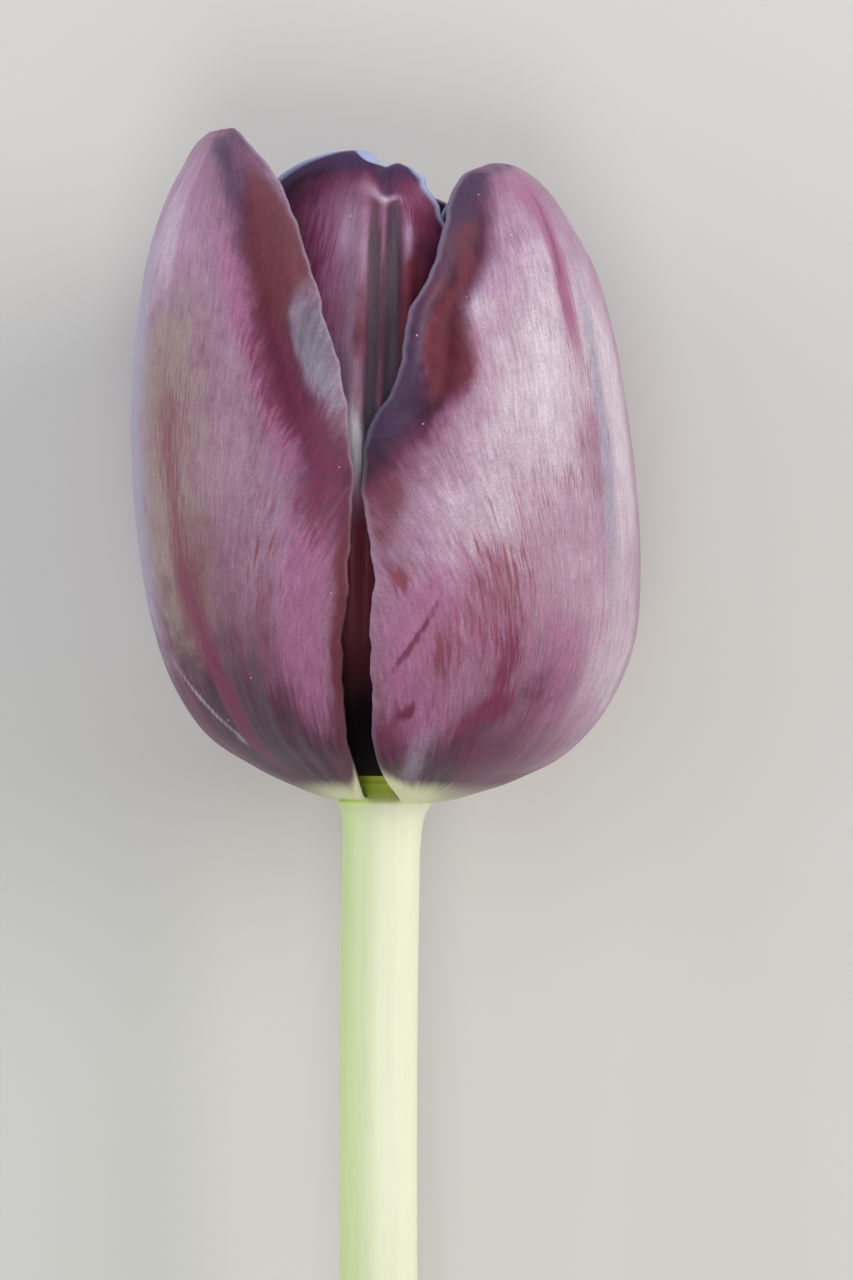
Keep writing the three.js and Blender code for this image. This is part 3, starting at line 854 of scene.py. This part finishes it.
@dataclass(frozen=True)
class StemSkin:
    """Waxy stem skin: pale cream green under the bloom, greener towards the cut, with faint lengthwise lines.

    The side away from the light has painted shade, a little greener.
    The lines are 1.1 mm wide and 29 mm long, which line_scale says as cells to a metre.
    """

    name: str = "waxy_stem_skin"
    pale: str = "#fbffe4"
    # painted shade for the side of the stem away from the light
    shaded: str = "#d9e8b8"
    shaded_from: float = 4.5
    green: str = "#b9cc8e"
    green_run: Span = (-40.0, -220.0)
    green_share: Span = (0.05, 0.9)
    olive: str = "#e4fa66"
    olive_run: Span = (-0.7, 0.9)
    line_scale: tuple[float, float, float] = (900.0, 35.0, 900.0)
    line_share: Span = (0.3, -0.1)
    roughness: float = 0.42
    glow: float = 0.2
    glow_depth: float = 1.5

    def build(self) -> bpy.types.Material:
        """Builds the node tree from the stem's height attribute and noise stretched along it."""
        material, add = new_material(self.name)
        height = add("Attribute", out="Fac", attribute_name="height")
        where = add("TexCoord", out="Object")
        stretched = add("Mapping", {"Vector": where, "Scale": self.line_scale})
        lines = add("TexNoise", {"Vector": stretched, "Scale": 1.0, "Detail": 3.0, "Roughness": 0.6})
        low = add("MapRange", (height, *self.green_run, *self.green_share))
        streak = add("Math", (lines, *self.line_share), operation="MULTIPLY_ADD")
        share = add("Math", (low, streak), operation="ADD", use_clamp=True)
        skin = add("Mix", {0: share, 6: srgb(self.pale), 7: srgb(self.green)}, 2, data_type="RGBA")
        crown = add("MapRange", (height, *self.olive_run))
        skin = add("Mix", {0: crown, 6: skin, 7: srgb(self.olive)}, 2, data_type="RGBA")
        # painted shade: the left of the stem, x below 0, is multiplied towards a darker green
        side = add("SeparateXYZ", (where,), "X")
        away = add("MapRange", (side, 0.0, -self.shaded_from * MM))
        skin = add("Mix", {0: away, 6: skin, 7: srgb(self.shaded)}, 2,
                   data_type="RGBA", blend_type="MULTIPLY")
        bump = add("Bump", {"Strength": 0.2, "Distance": 0.1 * MM, "Height": lines})
        shader = add("BsdfPrincipled", {
            "Base Color": skin, "Roughness": self.roughness, "IOR": 1.45, "Subsurface Weight": self.glow,
            "Subsurface Radius": (1.0, 1.0, 0.5), "Subsurface Scale": self.glow_depth * MM, "Normal": bump})
        add("OutputMaterial", {"Surface": shader})
        return material


@dataclass(frozen=True)
class TwoPartSkin:
    """A skin that changes along one attribute, such as filament to anther or ovary to stigma.

    The first part is smooth and fleshy, the second dry and dusty; a grain in millimetres mottles both.
    """

    name: str
    attribute: str
    first: str
    second: str
    roughness: Span
    grain: float
    mottle: Span = (0.7, 1.25)

    def build(self) -> bpy.types.Material:
        """Builds the node tree: two colours, both mottled by a fine grain."""
        material, add = new_material(self.name)
        part = add("Attribute", out="Fac", attribute_name=self.attribute)
        where = add("TexCoord", out="Object")
        grain = add("TexNoise", {
            "Vector": where, "Scale": 1 / (self.grain * MM), "Detail": 4.0, "Roughness": 0.65})
        colour = add("Mix", {0: part, 6: srgb(self.first), 7: srgb(self.second)}, 2, data_type="RGBA")
        shade = add("MapRange", (grain, *NOISE_SPAN, *self.mottle))
        mottled = add("VectorMath", {0: colour, "Scale": shade}, operation="SCALE")
        rough = add("MapRange", (part, 0.0, 1.0, *self.roughness))
        bump = add("Bump", {"Strength": 0.5, "Distance": 0.2 * MM, "Height": grain})
        shader = add("BsdfPrincipled", {
            "Base Color": mottled, "Roughness": rough, "IOR": 1.42, "Normal": bump})
        add("OutputMaterial", {"Surface": shader})
        return material


@dataclass(frozen=True)
class FloorPaint:
    """Matt studio paint: pale and plain, with a faint unevenness so that it isn't a dead flat colour."""

    name: str = "matt_studio_paint"
    pale: str = "#dcdbd6"
    roughness: Span = (0.78, 0.9)

    def build(self) -> bpy.types.Material:
        """Builds the node tree."""
        material, add = new_material(self.name)
        cloud = add("TexNoise", {"Vector": add("TexCoord", out="Object"), "Scale": 6.0, "Detail": 3.0})
        rough = add("MapRange", (cloud, 0.0, 1.0, *self.roughness))
        shader = add("BsdfPrincipled", {"Base Color": srgb(self.pale), "Roughness": rough})
        add("OutputMaterial", {"Surface": shader})
        return material


@dataclass
class SoftLight:
    """A square softbox, aimed at a point of the flower."""

    name: str
    place: tuple[float, float, float]
    size: float
    power: float
    colour: str = "#ffffff"

    def build(self, target: Vector) -> None:
        """Adds the light at its place, in metres, turned to the target."""
        lamp = bpy.data.lights.new(self.name, "AREA")
        lamp.shape = "SQUARE"
        lamp.size = self.size
        lamp.energy = self.power
        lamp.color = srgb(self.colour)[:3]
        holder = bpy.data.objects.new(self.name, lamp)
        holder.location = self.place
        holder.rotation_euler = (target - Vector(self.place)).to_track_quat("-Z", "Y").to_euler()
        bpy.context.scene.collection.objects.link(holder)


@dataclass
class Studio:
    """Floor, lights and the camera at the photo's angle: straight down, with the bloom's tip up.

    The camera stands distance metres above the bloom's axis, and view_height metres there fill its frame.
    It looks down on look_x and look_s; the lights aim at light_s up the bloom, in millimetres.
    """

    floor_size: float = 6.0
    distance: float = 0.6
    view_height: float = 0.137
    sensor: float = 24.0
    room: str = "#e9edf2"
    room_strength: float = 0.4
    light_s: float = 35.0
    look_x: float = 4.3
    look_s: float = 17.1
    lights: tuple[SoftLight, ...] = field(default_factory=lambda: (
        SoftLight("key_right", (0.66, 0.3, 0.45), 0.55, 3.6, "#fff8f0"),
        SoftLight("fill_left", (-0.8, 0.25, 0.25), 0.7, 3.4, "#f0f3f8"),
        SoftLight("fill_front", (-0.02, -0.2, 1.0), 0.35, 2.2, "#fffaf2"),
        SoftLight("sky_behind_tip", (-0.1, 0.95, 0.3), 0.6, 3.0, "#d4e1fb")))

    def build(self) -> None:
        """Adds everything round the flower."""
        half = self.floor_size / 2
        corners = np.array([[-half, -half, 0], [half, -half, 0], [half, half, 0], [-half, half, 0]])
        floor = mesh_object("floor", corners, [[0, 1, 2, 3]])
        floor.data.materials.append(FloorPaint().build())
        target = Vector((self.look_x * MM, (SEAT_Y + self.light_s) * MM, AXIS_Z * MM))
        for light in self.lights:
            light.build(target)
        world = bpy.data.worlds.new("soft_grey_room")
        world.use_nodes = True
        background = world.node_tree.nodes["Background"].inputs
        background["Color"].default_value = srgb(self.room)
        background["Strength"].default_value = self.room_strength
        scene = bpy.context.scene
        scene.world = world
        scene.view_settings.view_transform = "Standard"
        lens = bpy.data.cameras.new("camera")
        lens.sensor_fit = "VERTICAL"
        lens.sensor_height = self.sensor
        lens.lens = self.sensor * self.distance / self.view_height
        camera = bpy.data.objects.new("camera", lens)
        camera.location = (self.look_x * MM, (SEAT_Y + self.look_s) * MM, AXIS_Z * MM + self.distance)
        scene.collection.objects.link(camera)
        scene.camera = camera


# The six tepals, as read from the photo where it shows them
RIB_CREASE = Run(MIDRIB, 8, 64, 0, 1.6, (0, -0.3, 0))
INNER_ROOT = ((2.9, 4.05, 30, 30), (2.7, 6.2, 36, 36), (3.7, 9.6, 42, 42), (6.2, 13.8, 46, 46))
GROOVE = (0, -0.7, -0.7, -0.5, 0)
RIDGE = (0, 0.4, 0.5, 0.5, 0)
RIBS = (
    Run(MIDRIB, 8, 66, -1.1, 0.8, GROOVE),
    Run(MIDRIB, 8, 66, 1.1, 0.8, GROOVE))

OUTER_LEFT = Tepal(
    node="tepal_outer_left", slot="outer_tepal", azimuth=-60, seed=3,
    stations=(
        (0.15, 4.4, 40, 34), (0.25, 6.4, 45, 38), (1.3, 9.4, 49, 43), (3.5, 14, 53, 46.4),
        (7.2, 19.4, 54.5, 47.4), (13.5, 23.3, 55, 48.2), (21.5, 25.6, 54.5, 50.5), (31, 26.9, 53, 52.4),
        (40.5, 27.3, 51, 51.9), (49.5, 26.8, 47, 47.4), (57, 25.7, 42, 40.5), (62.6, 24.2, 35, 35),
        (66.8, 22.3, 26, 24.5), (69.6, 20.9, 17, 14.5), (BLOOM_HEIGHT, 20.1, 9, 7)),
    creases=(
        Run(RIGHT, 24, 70, (1.6, 4.8, 6.8, 5.8, 2.6), (2.4, 3.2, 3.8, 4.4, 2.8), (0, -1.6, -2.8, -2.2, 0),
            steep=0.45),
        Run(RIGHT, 36, 57, (0.8, 1.8, 2.4, 1), (1.6, 2.6, 2.8, 1.6), (0, 1.3, 1.3, 0)),
        Run(RIGHT, 2, 36, 0, (2.4, 3.4, 3.4, 2.6), (0, -0.9, -0.8, 0)),
        RIB_CREASE),
    washes={
        RUSSET: (
            Run(RIGHT, 38, 69, (6, 6.8, 6, 3.8, 1.8), (1.4, 1.7, 2.2, 2.4, 1.6), (0, 0.5, 1, 0.8, 0), 0.9),
            Run(RIGHT, 51, 66, 2, 2.4, (0, 0.8, 0.6, 0)),
            Run(VEIN, 2, 34, 100, 5, (0, 1, 0.9, 0))),
        MAGENTA: (
            Run(RIGHT, 34, 64, (6, 8.6, 9.6, 9.4), 2, (0.4, 0.8, 0.7, 0)),
            Run(MIDRIB, 50, 70, 1.5, 3.5, (0, 0.2, 0.3, 0)),
            Run(VEIN, 4, 40, (84, 80, 84), 13, (0, 0.7, 0.8, 0.4, 0))),
        # VIOLET: a painted reflection of the cool sky
        VIOLET: (
            Run(RIGHT, 44, 70, (9, 7.6, 4.4), 1.6, (0, 0.15, 0.3, 0.2)),
            Run(RIGHT, 24, 43, 4.4, 2.4, (0, 0.3, 0.35, 0)),
            Run(MIDRIB, 60, 72, 5, 5, (0, 0.2, 0.4)),
            Run(VEIN, 2, 22, 42, 16, (0.2, 0.3, 0.1, 0))),
        TAN: (Run(MIDRIB, 10, 60, 1, 7, (0, 0.5, 0.6, 0.5, 0)),),
        FLECK: (
            Run(VEIN, 12, 48, (12, 9, 4), 11, (0, 0.9, 0.7, 0.4, 0)),
            Run(VEIN, 8, 40, (58, 62), 10, (0, 0.45, 0.4, 0)),
            Run(RIGHT, 34, 60, 9, 2.5, (0, 0.4, 0.3, 0)),
            Run(MIDRIB, 30, 52, 4, 9, (0, 0.35, 0))),
        CRIMSON: (
            Run(VEIN, 3, 30, (22, 25, 20, 13, 6), 8, (0.5, 0.9, 0.8, 0.5, 0)),
            Run(RIGHT, 36, 54, (6.4, 7.4, 7.4), 2, (0, 0.9, 0.7, 0)),
            Run(VEIN, 4, 24, 66, 7, (0.2, 0.15, 0)),
            Run(RIGHT, 24, 46, (3, 3.4, 4), 2.6, (0, 0.65, 0.7, 0)),
            Run(VEIN, 0, 36, (84, 88), 14, (0.4, 0.1, 0.1, 0))),
        CREAM: (Run(VEIN, -1, 3.4, 70, 70, (0.8, 0.8, 0)),),
        # SILVER: a painted highlight on the lip of the fold, and a painted reflection down the left edge
        SILVER: (
            Run(RIGHT, 38, 58, (1.2, 2, 2.2, 1.6, 0.8), (1.6, 2.6, 2.8, 2.2, 1.4), (0, 0.5, 0.6, 0.3, 0)),
            Run(RIGHT, 52, 69, 0.6, 1.6, (0, 0.35, 0.35, 0)),
            Run(MIDRIB, 8, 68, -9, 5.5, (0, 0.7, 0.8, 0))),
        ASH: (Run(RIGHT, 36, 56, 1.4, 3.2, (0, 0.3, 0.3, 0)),),
        # DARK: painted shade in the upper fold and beside the slit, and darker low on the tepal
        DARK: (
            Run(RIGHT, 22, 42, 0.5, 5, (0, 0.35, 0.5, 0)),
            Run(RIGHT, 46, 67, 3.4, 2.8, (0, 0.7, 0.5, 0)),
            Run(MIDRIB, -1, 30, 0, 26, (0.6, 0.65, 0.4, 0)),
            Run(VEIN, 0, 18, 10, 18, (0.3, 0.4, 0)),
            Run(VEIN, 8, 34, -1, 10, (0, 0.6, 0)),
            Run(VEIN, -1, 14, 60, 40, (0.5, 0.4, 0)),
            Run(MIDRIB, 56, 72, 4, 9, (0, 0.25, 0.3)))},
    patches={
        # PALE: painted highlights on the lip and at the left edge, among paler tone
        PALE: (
            Patch(21.6, 35, 0.9, 4, 0.4), Patch(18.5, 15, 3.6, 9, 0.5), Patch(13, 22, 5, 7, 0.2),
            Patch(18, 26, 3.5, 9, 0.3), Patch(-1.5, 60, 5, 8, 0.7), Patch(-9.5, 36, 3, 12, 0.5),
            Patch(0.3, 9.7, 0.3, 3.4, 1, -0.85), Patch(2.2, 6.6, 0.5, 0.6, 1)),
        SILVER: (Patch(0.3, 9.7, 0.25, 3.4, 1, -0.85), Patch(2.2, 6.6, 0.45, 0.55, 1)),
        RUSSET: (Patch(4.5, 23, 2.6, 5.5, 0.3), Patch(8, 28, 4, 4, 0.2), Patch(1, 40, 5, 12, 0.15)),
        ASH: (Patch(6, 8, 7, 6, 0.4), Patch(9, 17, 3.5, 6, 0.25))})

OUTER_RIGHT = Tepal(
    node="tepal_outer_right", slot="outer_tepal", azimuth=57, seed=5,
    stations=(
        (0, 4.4, 40, 42), (-0.15, 6.4, 42, 46), (0.75, 9.8, 50, 48), (2.2, 14, 56, 50),
        (5, 19.3, 59.4, 54), (10, 23.7, 60, 56.5), (17, 26.6, 59.8, 57), (25.5, 27.2, 59.4, 56.5),
        (34, 26.7, 62.3, 55.5), (38.5, 26.2, 60.3, 54), (44, 25.4, 54, 52), (50, 24.3, 51.2, 49),
        (57, 22.2, 42.6, 43), (62.4, 19.3, 36.4, 35), (65.6, 16.9, 28, 24), (67, 15.4, 15, 13),
        (67.4, 14.8, 5, 4)),
    creases=(
        Run(LEFT, 34, 66, (5, 5.4, 4.6, 4.6, 2.4), (2.4, 3, 2.8, 3, 2.2), (0, -2.1, -2.2, -1.4, 0),
            steep=0.45),
        Run(LEFT, 38, 58, (1, 1.6, 1.8, 1), (1.6, 2, 2.2, 1.6), (0, 0.8, 1, 0)),
        Run(LEFT, 28, 46, 0, 2.8, (0, -1.2, 0)),
        Run(LEFT, 2, 34, 0, (2.2, 3.2, 3, 2.2), (0, -0.8, -0.6, 0)),
        RIB_CREASE),
    washes={
        RUSSET: (
            Run(LEFT, 39, 64, (6.6, 5.6, 4.6, 3.8, 3.2), (1.6, 2.2, 1.6, 1.3, 1), (0, 1, 0.45, 0.35, 0)),
            Run(LEFT, 44, 52, 3.2, 1.2, (0, 0.6, 0)),
            Run(LEFT, 46, 64, 1.4, 2, (0, 0.2, 0.2, 0)),
            Run(RIGHT, 28, 46, 15, 4.5, (0, 0.12, 0)),
            Run(LEFT, 22, 36, 1.5, 2.5, (0, 0.3, 0))),
        MAGENTA: (
            Run(LEFT, 36, 52, (6.6, 7.2, 7.4), 0.9, (0, 0.6, 0)),
            Run(LEFT, 3, 26, 4.8, 3, (0, 0.8, 0.7, 0)),
            Run(VEIN, 4, 22, -18, 14, (0, 0.5, 0.4, 0)),
            Run(VEIN, 42, 68, (-2, -8, -4, 6), 8, (0, 0.7, 0.9, 0.4))),
        FLECK: (
            Run(VEIN, 11, 30, (-56, -53), 15, (0, 0.52, 0.52, 0)),
            Run(LEFT, 20, 27, 2.2, 2, (0, 0.7, 0)),
            Run(VEIN, 8, 22, -74, 5, (0, 0.55, 0.5, 0)),
            Run(VEIN, 18, 44, -38, 30, (0, 0.3, 0)),
            Run(VEIN, 24, 62, -4, 14, (0, 0.3, 0.35, 0.35, 0))),
        CRIMSON: (
            Run(VEIN, 8, 24, (-48, -45), 7, (0, 0.7, 0.5, 0)),
            Run(VEIN, 5, 17, -28, 7, (0, 0.5, 0)),
            Run(VEIN, 0, 10, -45, 22, (0, 0.4, 0)),
            Run(VEIN, 0, 14, -90, 9, (0, 0.5, 0)),
            Run(VEIN, 50, 68, (-14, -4, 8), 4, (0, 0.45, 0.45, 0))),
        CREAM: (Run(VEIN, -1, 3.4, -85, 42, (1, 1, 0)),),
        # VIOLET: a painted reflection of the cool sky on the lip
        VIOLET: (
            Run(LEFT, 38, 66, 1.2, 1.8, (0.5, 0.8, 0.6, 0.5, 0.2)),
            Run(LEFT, 33, 45, 2.2, 3.2, (0, 0.3, 0.4, 0)),
            Run(LEFT, 54, 68, 2, 3, (0, 0.5, 0.4)),
            Run(MIDRIB, 1, 24, -8, 9, (0.25, 0.28, 0.15, 0))),
        # DARK: painted shade in the fold beside the slit, and darker at the root
        DARK: (
            Run(LEFT, 29, 46, 1.5, 5.6, (0, 0.7, 0.9, 0)),
            Run(LEFT, 46, 68, 1.4, 2.8, (0, 1, 0.8, 0)),
            Run(LEFT, 52, 66, 4, 1.8, (0, 0.6, 0.4, 0)),
            Run(MIDRIB, -1, 12, 0, 26, (0.5, 0.35, 0)),
            Run(VEIN, -1, 12, -85, 30, (0.9, 0.8, 0))),
        # PALE: painted highlight down the middle and on the side towards the key light
        PALE: (
            Run(MIDRIB, 3, 34, 6, 8, (0.4, 0.6, 0.4, 0)),
            Run(MIDRIB, 38, 64, 1, 4.5, (0, 0.6, 0.5, 0)),
            Run(MIDRIB, 24, 62, 7, 4, (0, 0.7, 0.7, 0.3, 0))),
        SILVER: (
            Run(MIDRIB, 14, 64, 2, 1.2, (0, 0.6, 0.6, 0)),
            Run(VEIN, 2, 14, (-84, -70), 7, (0.3, 0.55, 0.5, 0)),
            # a painted highlight on the lit ridge of the lip
            Run(LEFT, 46, 52, 3, 1.2, (0, 0.4, 0)))},
    patches={
        # PALE: painted highlight, brightest on the broad middle where the key light falls
        PALE: (
            Patch(-9, 43, 7, 13, 0.45), Patch(-8, 36, 15, 22, 0.28), Patch(-18, 28, 7, 8, 0.3),
            Patch(-3, 56, 3.5, 9, 0.25), Patch(-14.2, 52.2, 2.2, 2.2, 0.3),
            Patch(-18, 21, 7, 6, 0.25), Patch(-20.5, 19, 2.2, 3.5, 0.3)),
        RUSSET: (
            Patch(-16.5, 19, 4, 6.5, 0.15, 0.3), Patch(-10, 21, 4.5, 6, 0.1), Patch(-26, 32, 1.6, 2, 0.25)),
        CRIMSON: (
            Patch(-12.2, 9.6, 2.3, 1.7, 1, 0.6), Patch(-23.2, 17.2, 0.35, 3.4, 1.2, 0.45),
            Patch(-21, 9.6, 0.6, 0.7, 1.2)),
        MAGENTA: (Patch(-17, 20, 8, 9, 0.55), Patch(-1.5, 64, 5, 3.5, 0.45))})

OUTER_UNDER = Tepal(
    node="tepal_outer_under", slot="outer_tepal", azimuth=180, seed=7,
    stations=(
        (0.2, 4.4, 38, 38), (0.1, 6.4, 43, 43), (1.1, 9.6, 49, 49), (3, 14, 55, 55),
        (6.2, 19.3, 59, 60), (12, 24, 61, 62), (20, 27.2, 61.5, 62.5), (30, 28, 61.5, 62),
        (40, 27.3, 60, 59), (49.5, 25.4, 55, 54), (57, 23, 46, 46), (62, 20.2, 35, 36),
        (65, 17.6, 23, 24), (66.3, 16, 12, 12), (66.7, 15.4, 4, 4)),
    creases=(RIB_CREASE,),
    washes={
        SILVER: (Run(MIDRIB, 12, 64, 0, 6, (0, 0.4, 0.4, 0)),),
        RUSSET: (Run(LEFT, 10, 60, 4, 3.5, (0, 0.6, 0.5, 0)),
                 Run(RIGHT, 10, 60, 4, 3.5, (0, 0.5, 0.6, 0))),
        DARK: (Run(MIDRIB, -1, 13, 0, 26, (0.4, 0.7, 0)),)},
    patches={
        PALE: (Patch(-9, 38, 6, 14, 0.6), Patch(10, 34, 6, 13, 0.5)),
        MAGENTA: (Patch(5, 14, 5, 6, 0.5), Patch(-14, 16, 4, 6, 0.6))})

INNER_FRONT = Tepal(
    node="tepal_inner_front", slot="inner_tepal", azimuth=-1, twist=5,
    notches=((-0.4, 1, 1.3), (2.4, 2.4, 1.7)), seed=9, margin_thickness=0.55,
    stations=(
        *INNER_ROOT,
        (11, 18.2, 48, 48), (18, 21.4, 50, 50), (27, 22.9, 51, 51), (37, 23, 51, 51),
        (47, 21.7, 52, 46), (54.5, 19.8, 54, 34), (60, 17.6, 56, 21), (64, 15.5, 57, 17.6),
        (66.7, 13.7, 49, 15.4), (68.3, 12, 33, 12), (68.7, 10.2, 20, 7)),
    creases=(
        Run(MIDRIB, 8, 66, -1.2, 0.75, GROOVE),
        Run(MIDRIB, 8, 66, 0.8, 0.8, GROOVE),
        Run(MIDRIB, 16, 68, 2.3, 0.8, RIDGE),
        Run(MIDRIB, 16, 68, -2.8, 0.9, RIDGE),
        Run(MIDRIB, 18, 56, 0, 4.5, (0, 0.8, 0)),
        Run(MIDRIB, 32, 64, 7, 3.4, (0, -1, -1.3, -0.8, 0))),
    washes={
        # PALE: painted highlights, the gloss on the ridges and along the top lobe
        PALE: (
            Run(MIDRIB, 38, 65, (-3, -3.6), 1, (0, 0.5, 0.5, 0.3, 0)),
            Run(LEFT, 58, 70, 0.4, 0.8, (0, 0.6, 0.6, 0.4)),
            Run(MIDRIB, 50, 64.5, 2.2, 0.6, (0, 0.4, 0.6, 0)),
            Run(MIDRIB, 50, 64.5, -2.2, 0.4, (0, 0.3, 0.4, 0)),
            Run(MIDRIB, 30, 65, -0.35, 0.22, (0, 0.3, 0.5, 0.6, 0))),
        ASH: (
            Run(MIDRIB, 30, 63.6, -1.25, 0.6, (0, 1, 1.1, 1, 0.2)),
            Run(MIDRIB, 30, 63.9, 0.7, 0.7, (0, 1, 1, 0.9, 0.4))),
        RUSSET: (
            Run(MIDRIB, 34, 60, 3, 1.3, (0, 0.8, 0.9, 0.8, 0)),
            Run(MIDRIB, 43, 58, -2.6, 0.8, (0, 0.4, 0.3, 0)),
            Run(MIDRIB, 38, 62, -0.3, 0.3, (0, 0.6, 0)),
            Run(MIDRIB, 8, 34, 0, 8, (0, 0.8, 0.8, 0))),
        MAGENTA: (Run(MIDRIB, 44, 67, -6.4, 1.8, (0, 0.3, 0.35, 0)),),
        # SILVER: a painted highlight along the top of the left lobe
        SILVER: (Run(LEFT, 58, 70, 0.4, 0.9, (0, 0.9, 0.9, 0.7)),),
        CRIMSON: (
            Run(RIGHT, 55, 69, 2, 2.2, (0, 0.6, 0.7, 0)),
            Run(MIDRIB, 40, 68, -8, 3, (0, 0.4, 0.5, 0))),
        # DARK: painted shade on the right flank and edge under the right tepal, at the root and along the
        # left flank; the two runs beside the midrib darken its own stripes; darker at the top left
        DARK: (
            Run(RIGHT, 44, 64, 0.6, 2.8, (0.4, 1.5, 1, 0)),
            Run(MIDRIB, -2, 15, 0, 24, (1, 1, 0)),
            Run(MIDRIB, 30, 63.9, 0.7, 0.7, (0, 0.9, 0.9, 0.6)),
            Run(MIDRIB, 30, 63.6, -1.25, 0.5, (0, 0.4, 0.4, 0.2)),
            Run(LEFT, 36, 68, 1, 6, (0, 1, 1, 0.7)),
            Run(MIDRIB, 30, 61, 3.8, 2.6, (0, 0.8, 1, 0.8, 0)),
            Run(MIDRIB, 62, 70, -6, 9, (0, 0.4, 0.7))),
        # painted shade, near black, in the deep slit and under the right tepal's edge
        NIGHT: (
            Run(MIDRIB, -6, 20, 0, 30, (1, 1, 1, 0.7, 0)),
            Run(RIGHT, 46, 62, 0.8, 1.6, (0, 0.9, 0.6, 0))),
        # VIOLET: a painted reflection of the cool sky along the top rim
        VIOLET: (
            Run(MIDRIB, 65.5, 70, 0, 16, (0, 0.6, 0.8, 0.8)),
            Run(LEFT, 59, 70, 2.2, 1.4, (0, 0.6, 0.8, 0.6)))},
    patches={
        # VIOLET: a painted reflection at the top rim
        VIOLET: (Patch(0.6, 65.3, 1.8, 1, 0.6),),
        # PALE: a painted glow on the arch at the top, painted streaks of gloss and glare on the left flank
        PALE: (
            Patch(0.1, 64.3, 2.6, 0.9, 0.9), Patch(-4.2, 60, 1, 4, 0.25, 0.12),
            Patch(-5, 59, 0.9, 4, 0.3, 0.16), Patch(-3.9, 36.4, 2.6, 4, 1.8))})

BACK = (
    *INNER_ROOT,
    (11, 18.4, 49, 49), (18, 21.8, 52, 52), (27, 23.6, 53, 53), (37, 24, 53, 53),
    (47, 23, 50, 50), (55.5, 21, 44, 47), (61, 18.6, 36, 43), (64.6, 16.4, 25, 37),
    (66.3, 14.8, 13, 25), (66.8, 14.2, 4, 9))
INNER_RIGHT = Tepal(
    node="tepal_inner_right", slot="inner_tepal", azimuth=120, stations=BACK, creases=RIBS, seed=11)
INNER_LEFT = Tepal(
    node="tepal_inner_left", slot="inner_tepal", azimuth=240, seed=13, creases=RIBS,
    stations=tuple((s * 0.975, radius, left, right) for s, radius, left, right in BACK))


@dataclass
class Bloom:
    """The six tepals round the stamens and the pistil."""

    tepals: tuple[Tepal, ...] = (OUTER_LEFT, OUTER_RIGHT, OUTER_UNDER, INNER_FRONT, INNER_RIGHT, INNER_LEFT)
    stamens: tuple[Stamen, ...] = tuple(Stamen(index) for index in range(6))

    def build(self) -> None:
        """Builds and dresses every piece of the bloom."""
        skins = {"outer_tepal": TepalSkin("outer_petal_skin").build(),
                 "inner_tepal": TepalSkin(
                     "inner_petal_skin", openness=0.42, roughness=0.34, sheen=0.05, specular=0.14,
                     # a paler top of the ramp, where the inner tepals' painted highlights lie
                     ramp=TepalSkin.ramp[:4] + ((1.0, "#e8dfe6"),),
                     # a wide bluish painted highlight along the inner tepals' edges
                     dusted=0.6, rim="#aeb8dc", rim_width=0.8, rim_share=0.9).build()}
        for tepal in self.tepals:
            tepal.build().data.materials.append(skins[tepal.slot])
        pollen = TwoPartSkin("stamen_skin", "anther", "#4a2a4c", "#221528", (0.5, 0.85), 0.2).build()
        for stamen in self.stamens:
            stamen.build().data.materials.append(pollen)
        flesh = TwoPartSkin("pistil_skin", "stigma", "#a9b873", "#d9cf8f", (0.4, 0.7), 0.4).build()
        Pistil().build().data.materials.append(flesh)


def main() -> None:
    """Builds the flower and its studio in order; each piece logs its vertex count."""
    logging.basicConfig(level=logging.INFO, format="%(name)s: %(message)s")
    Studio().build()
    Stem().build().data.materials.append(StemSkin().build())
    Bloom().build()


if __name__ == "__main__":
    main()
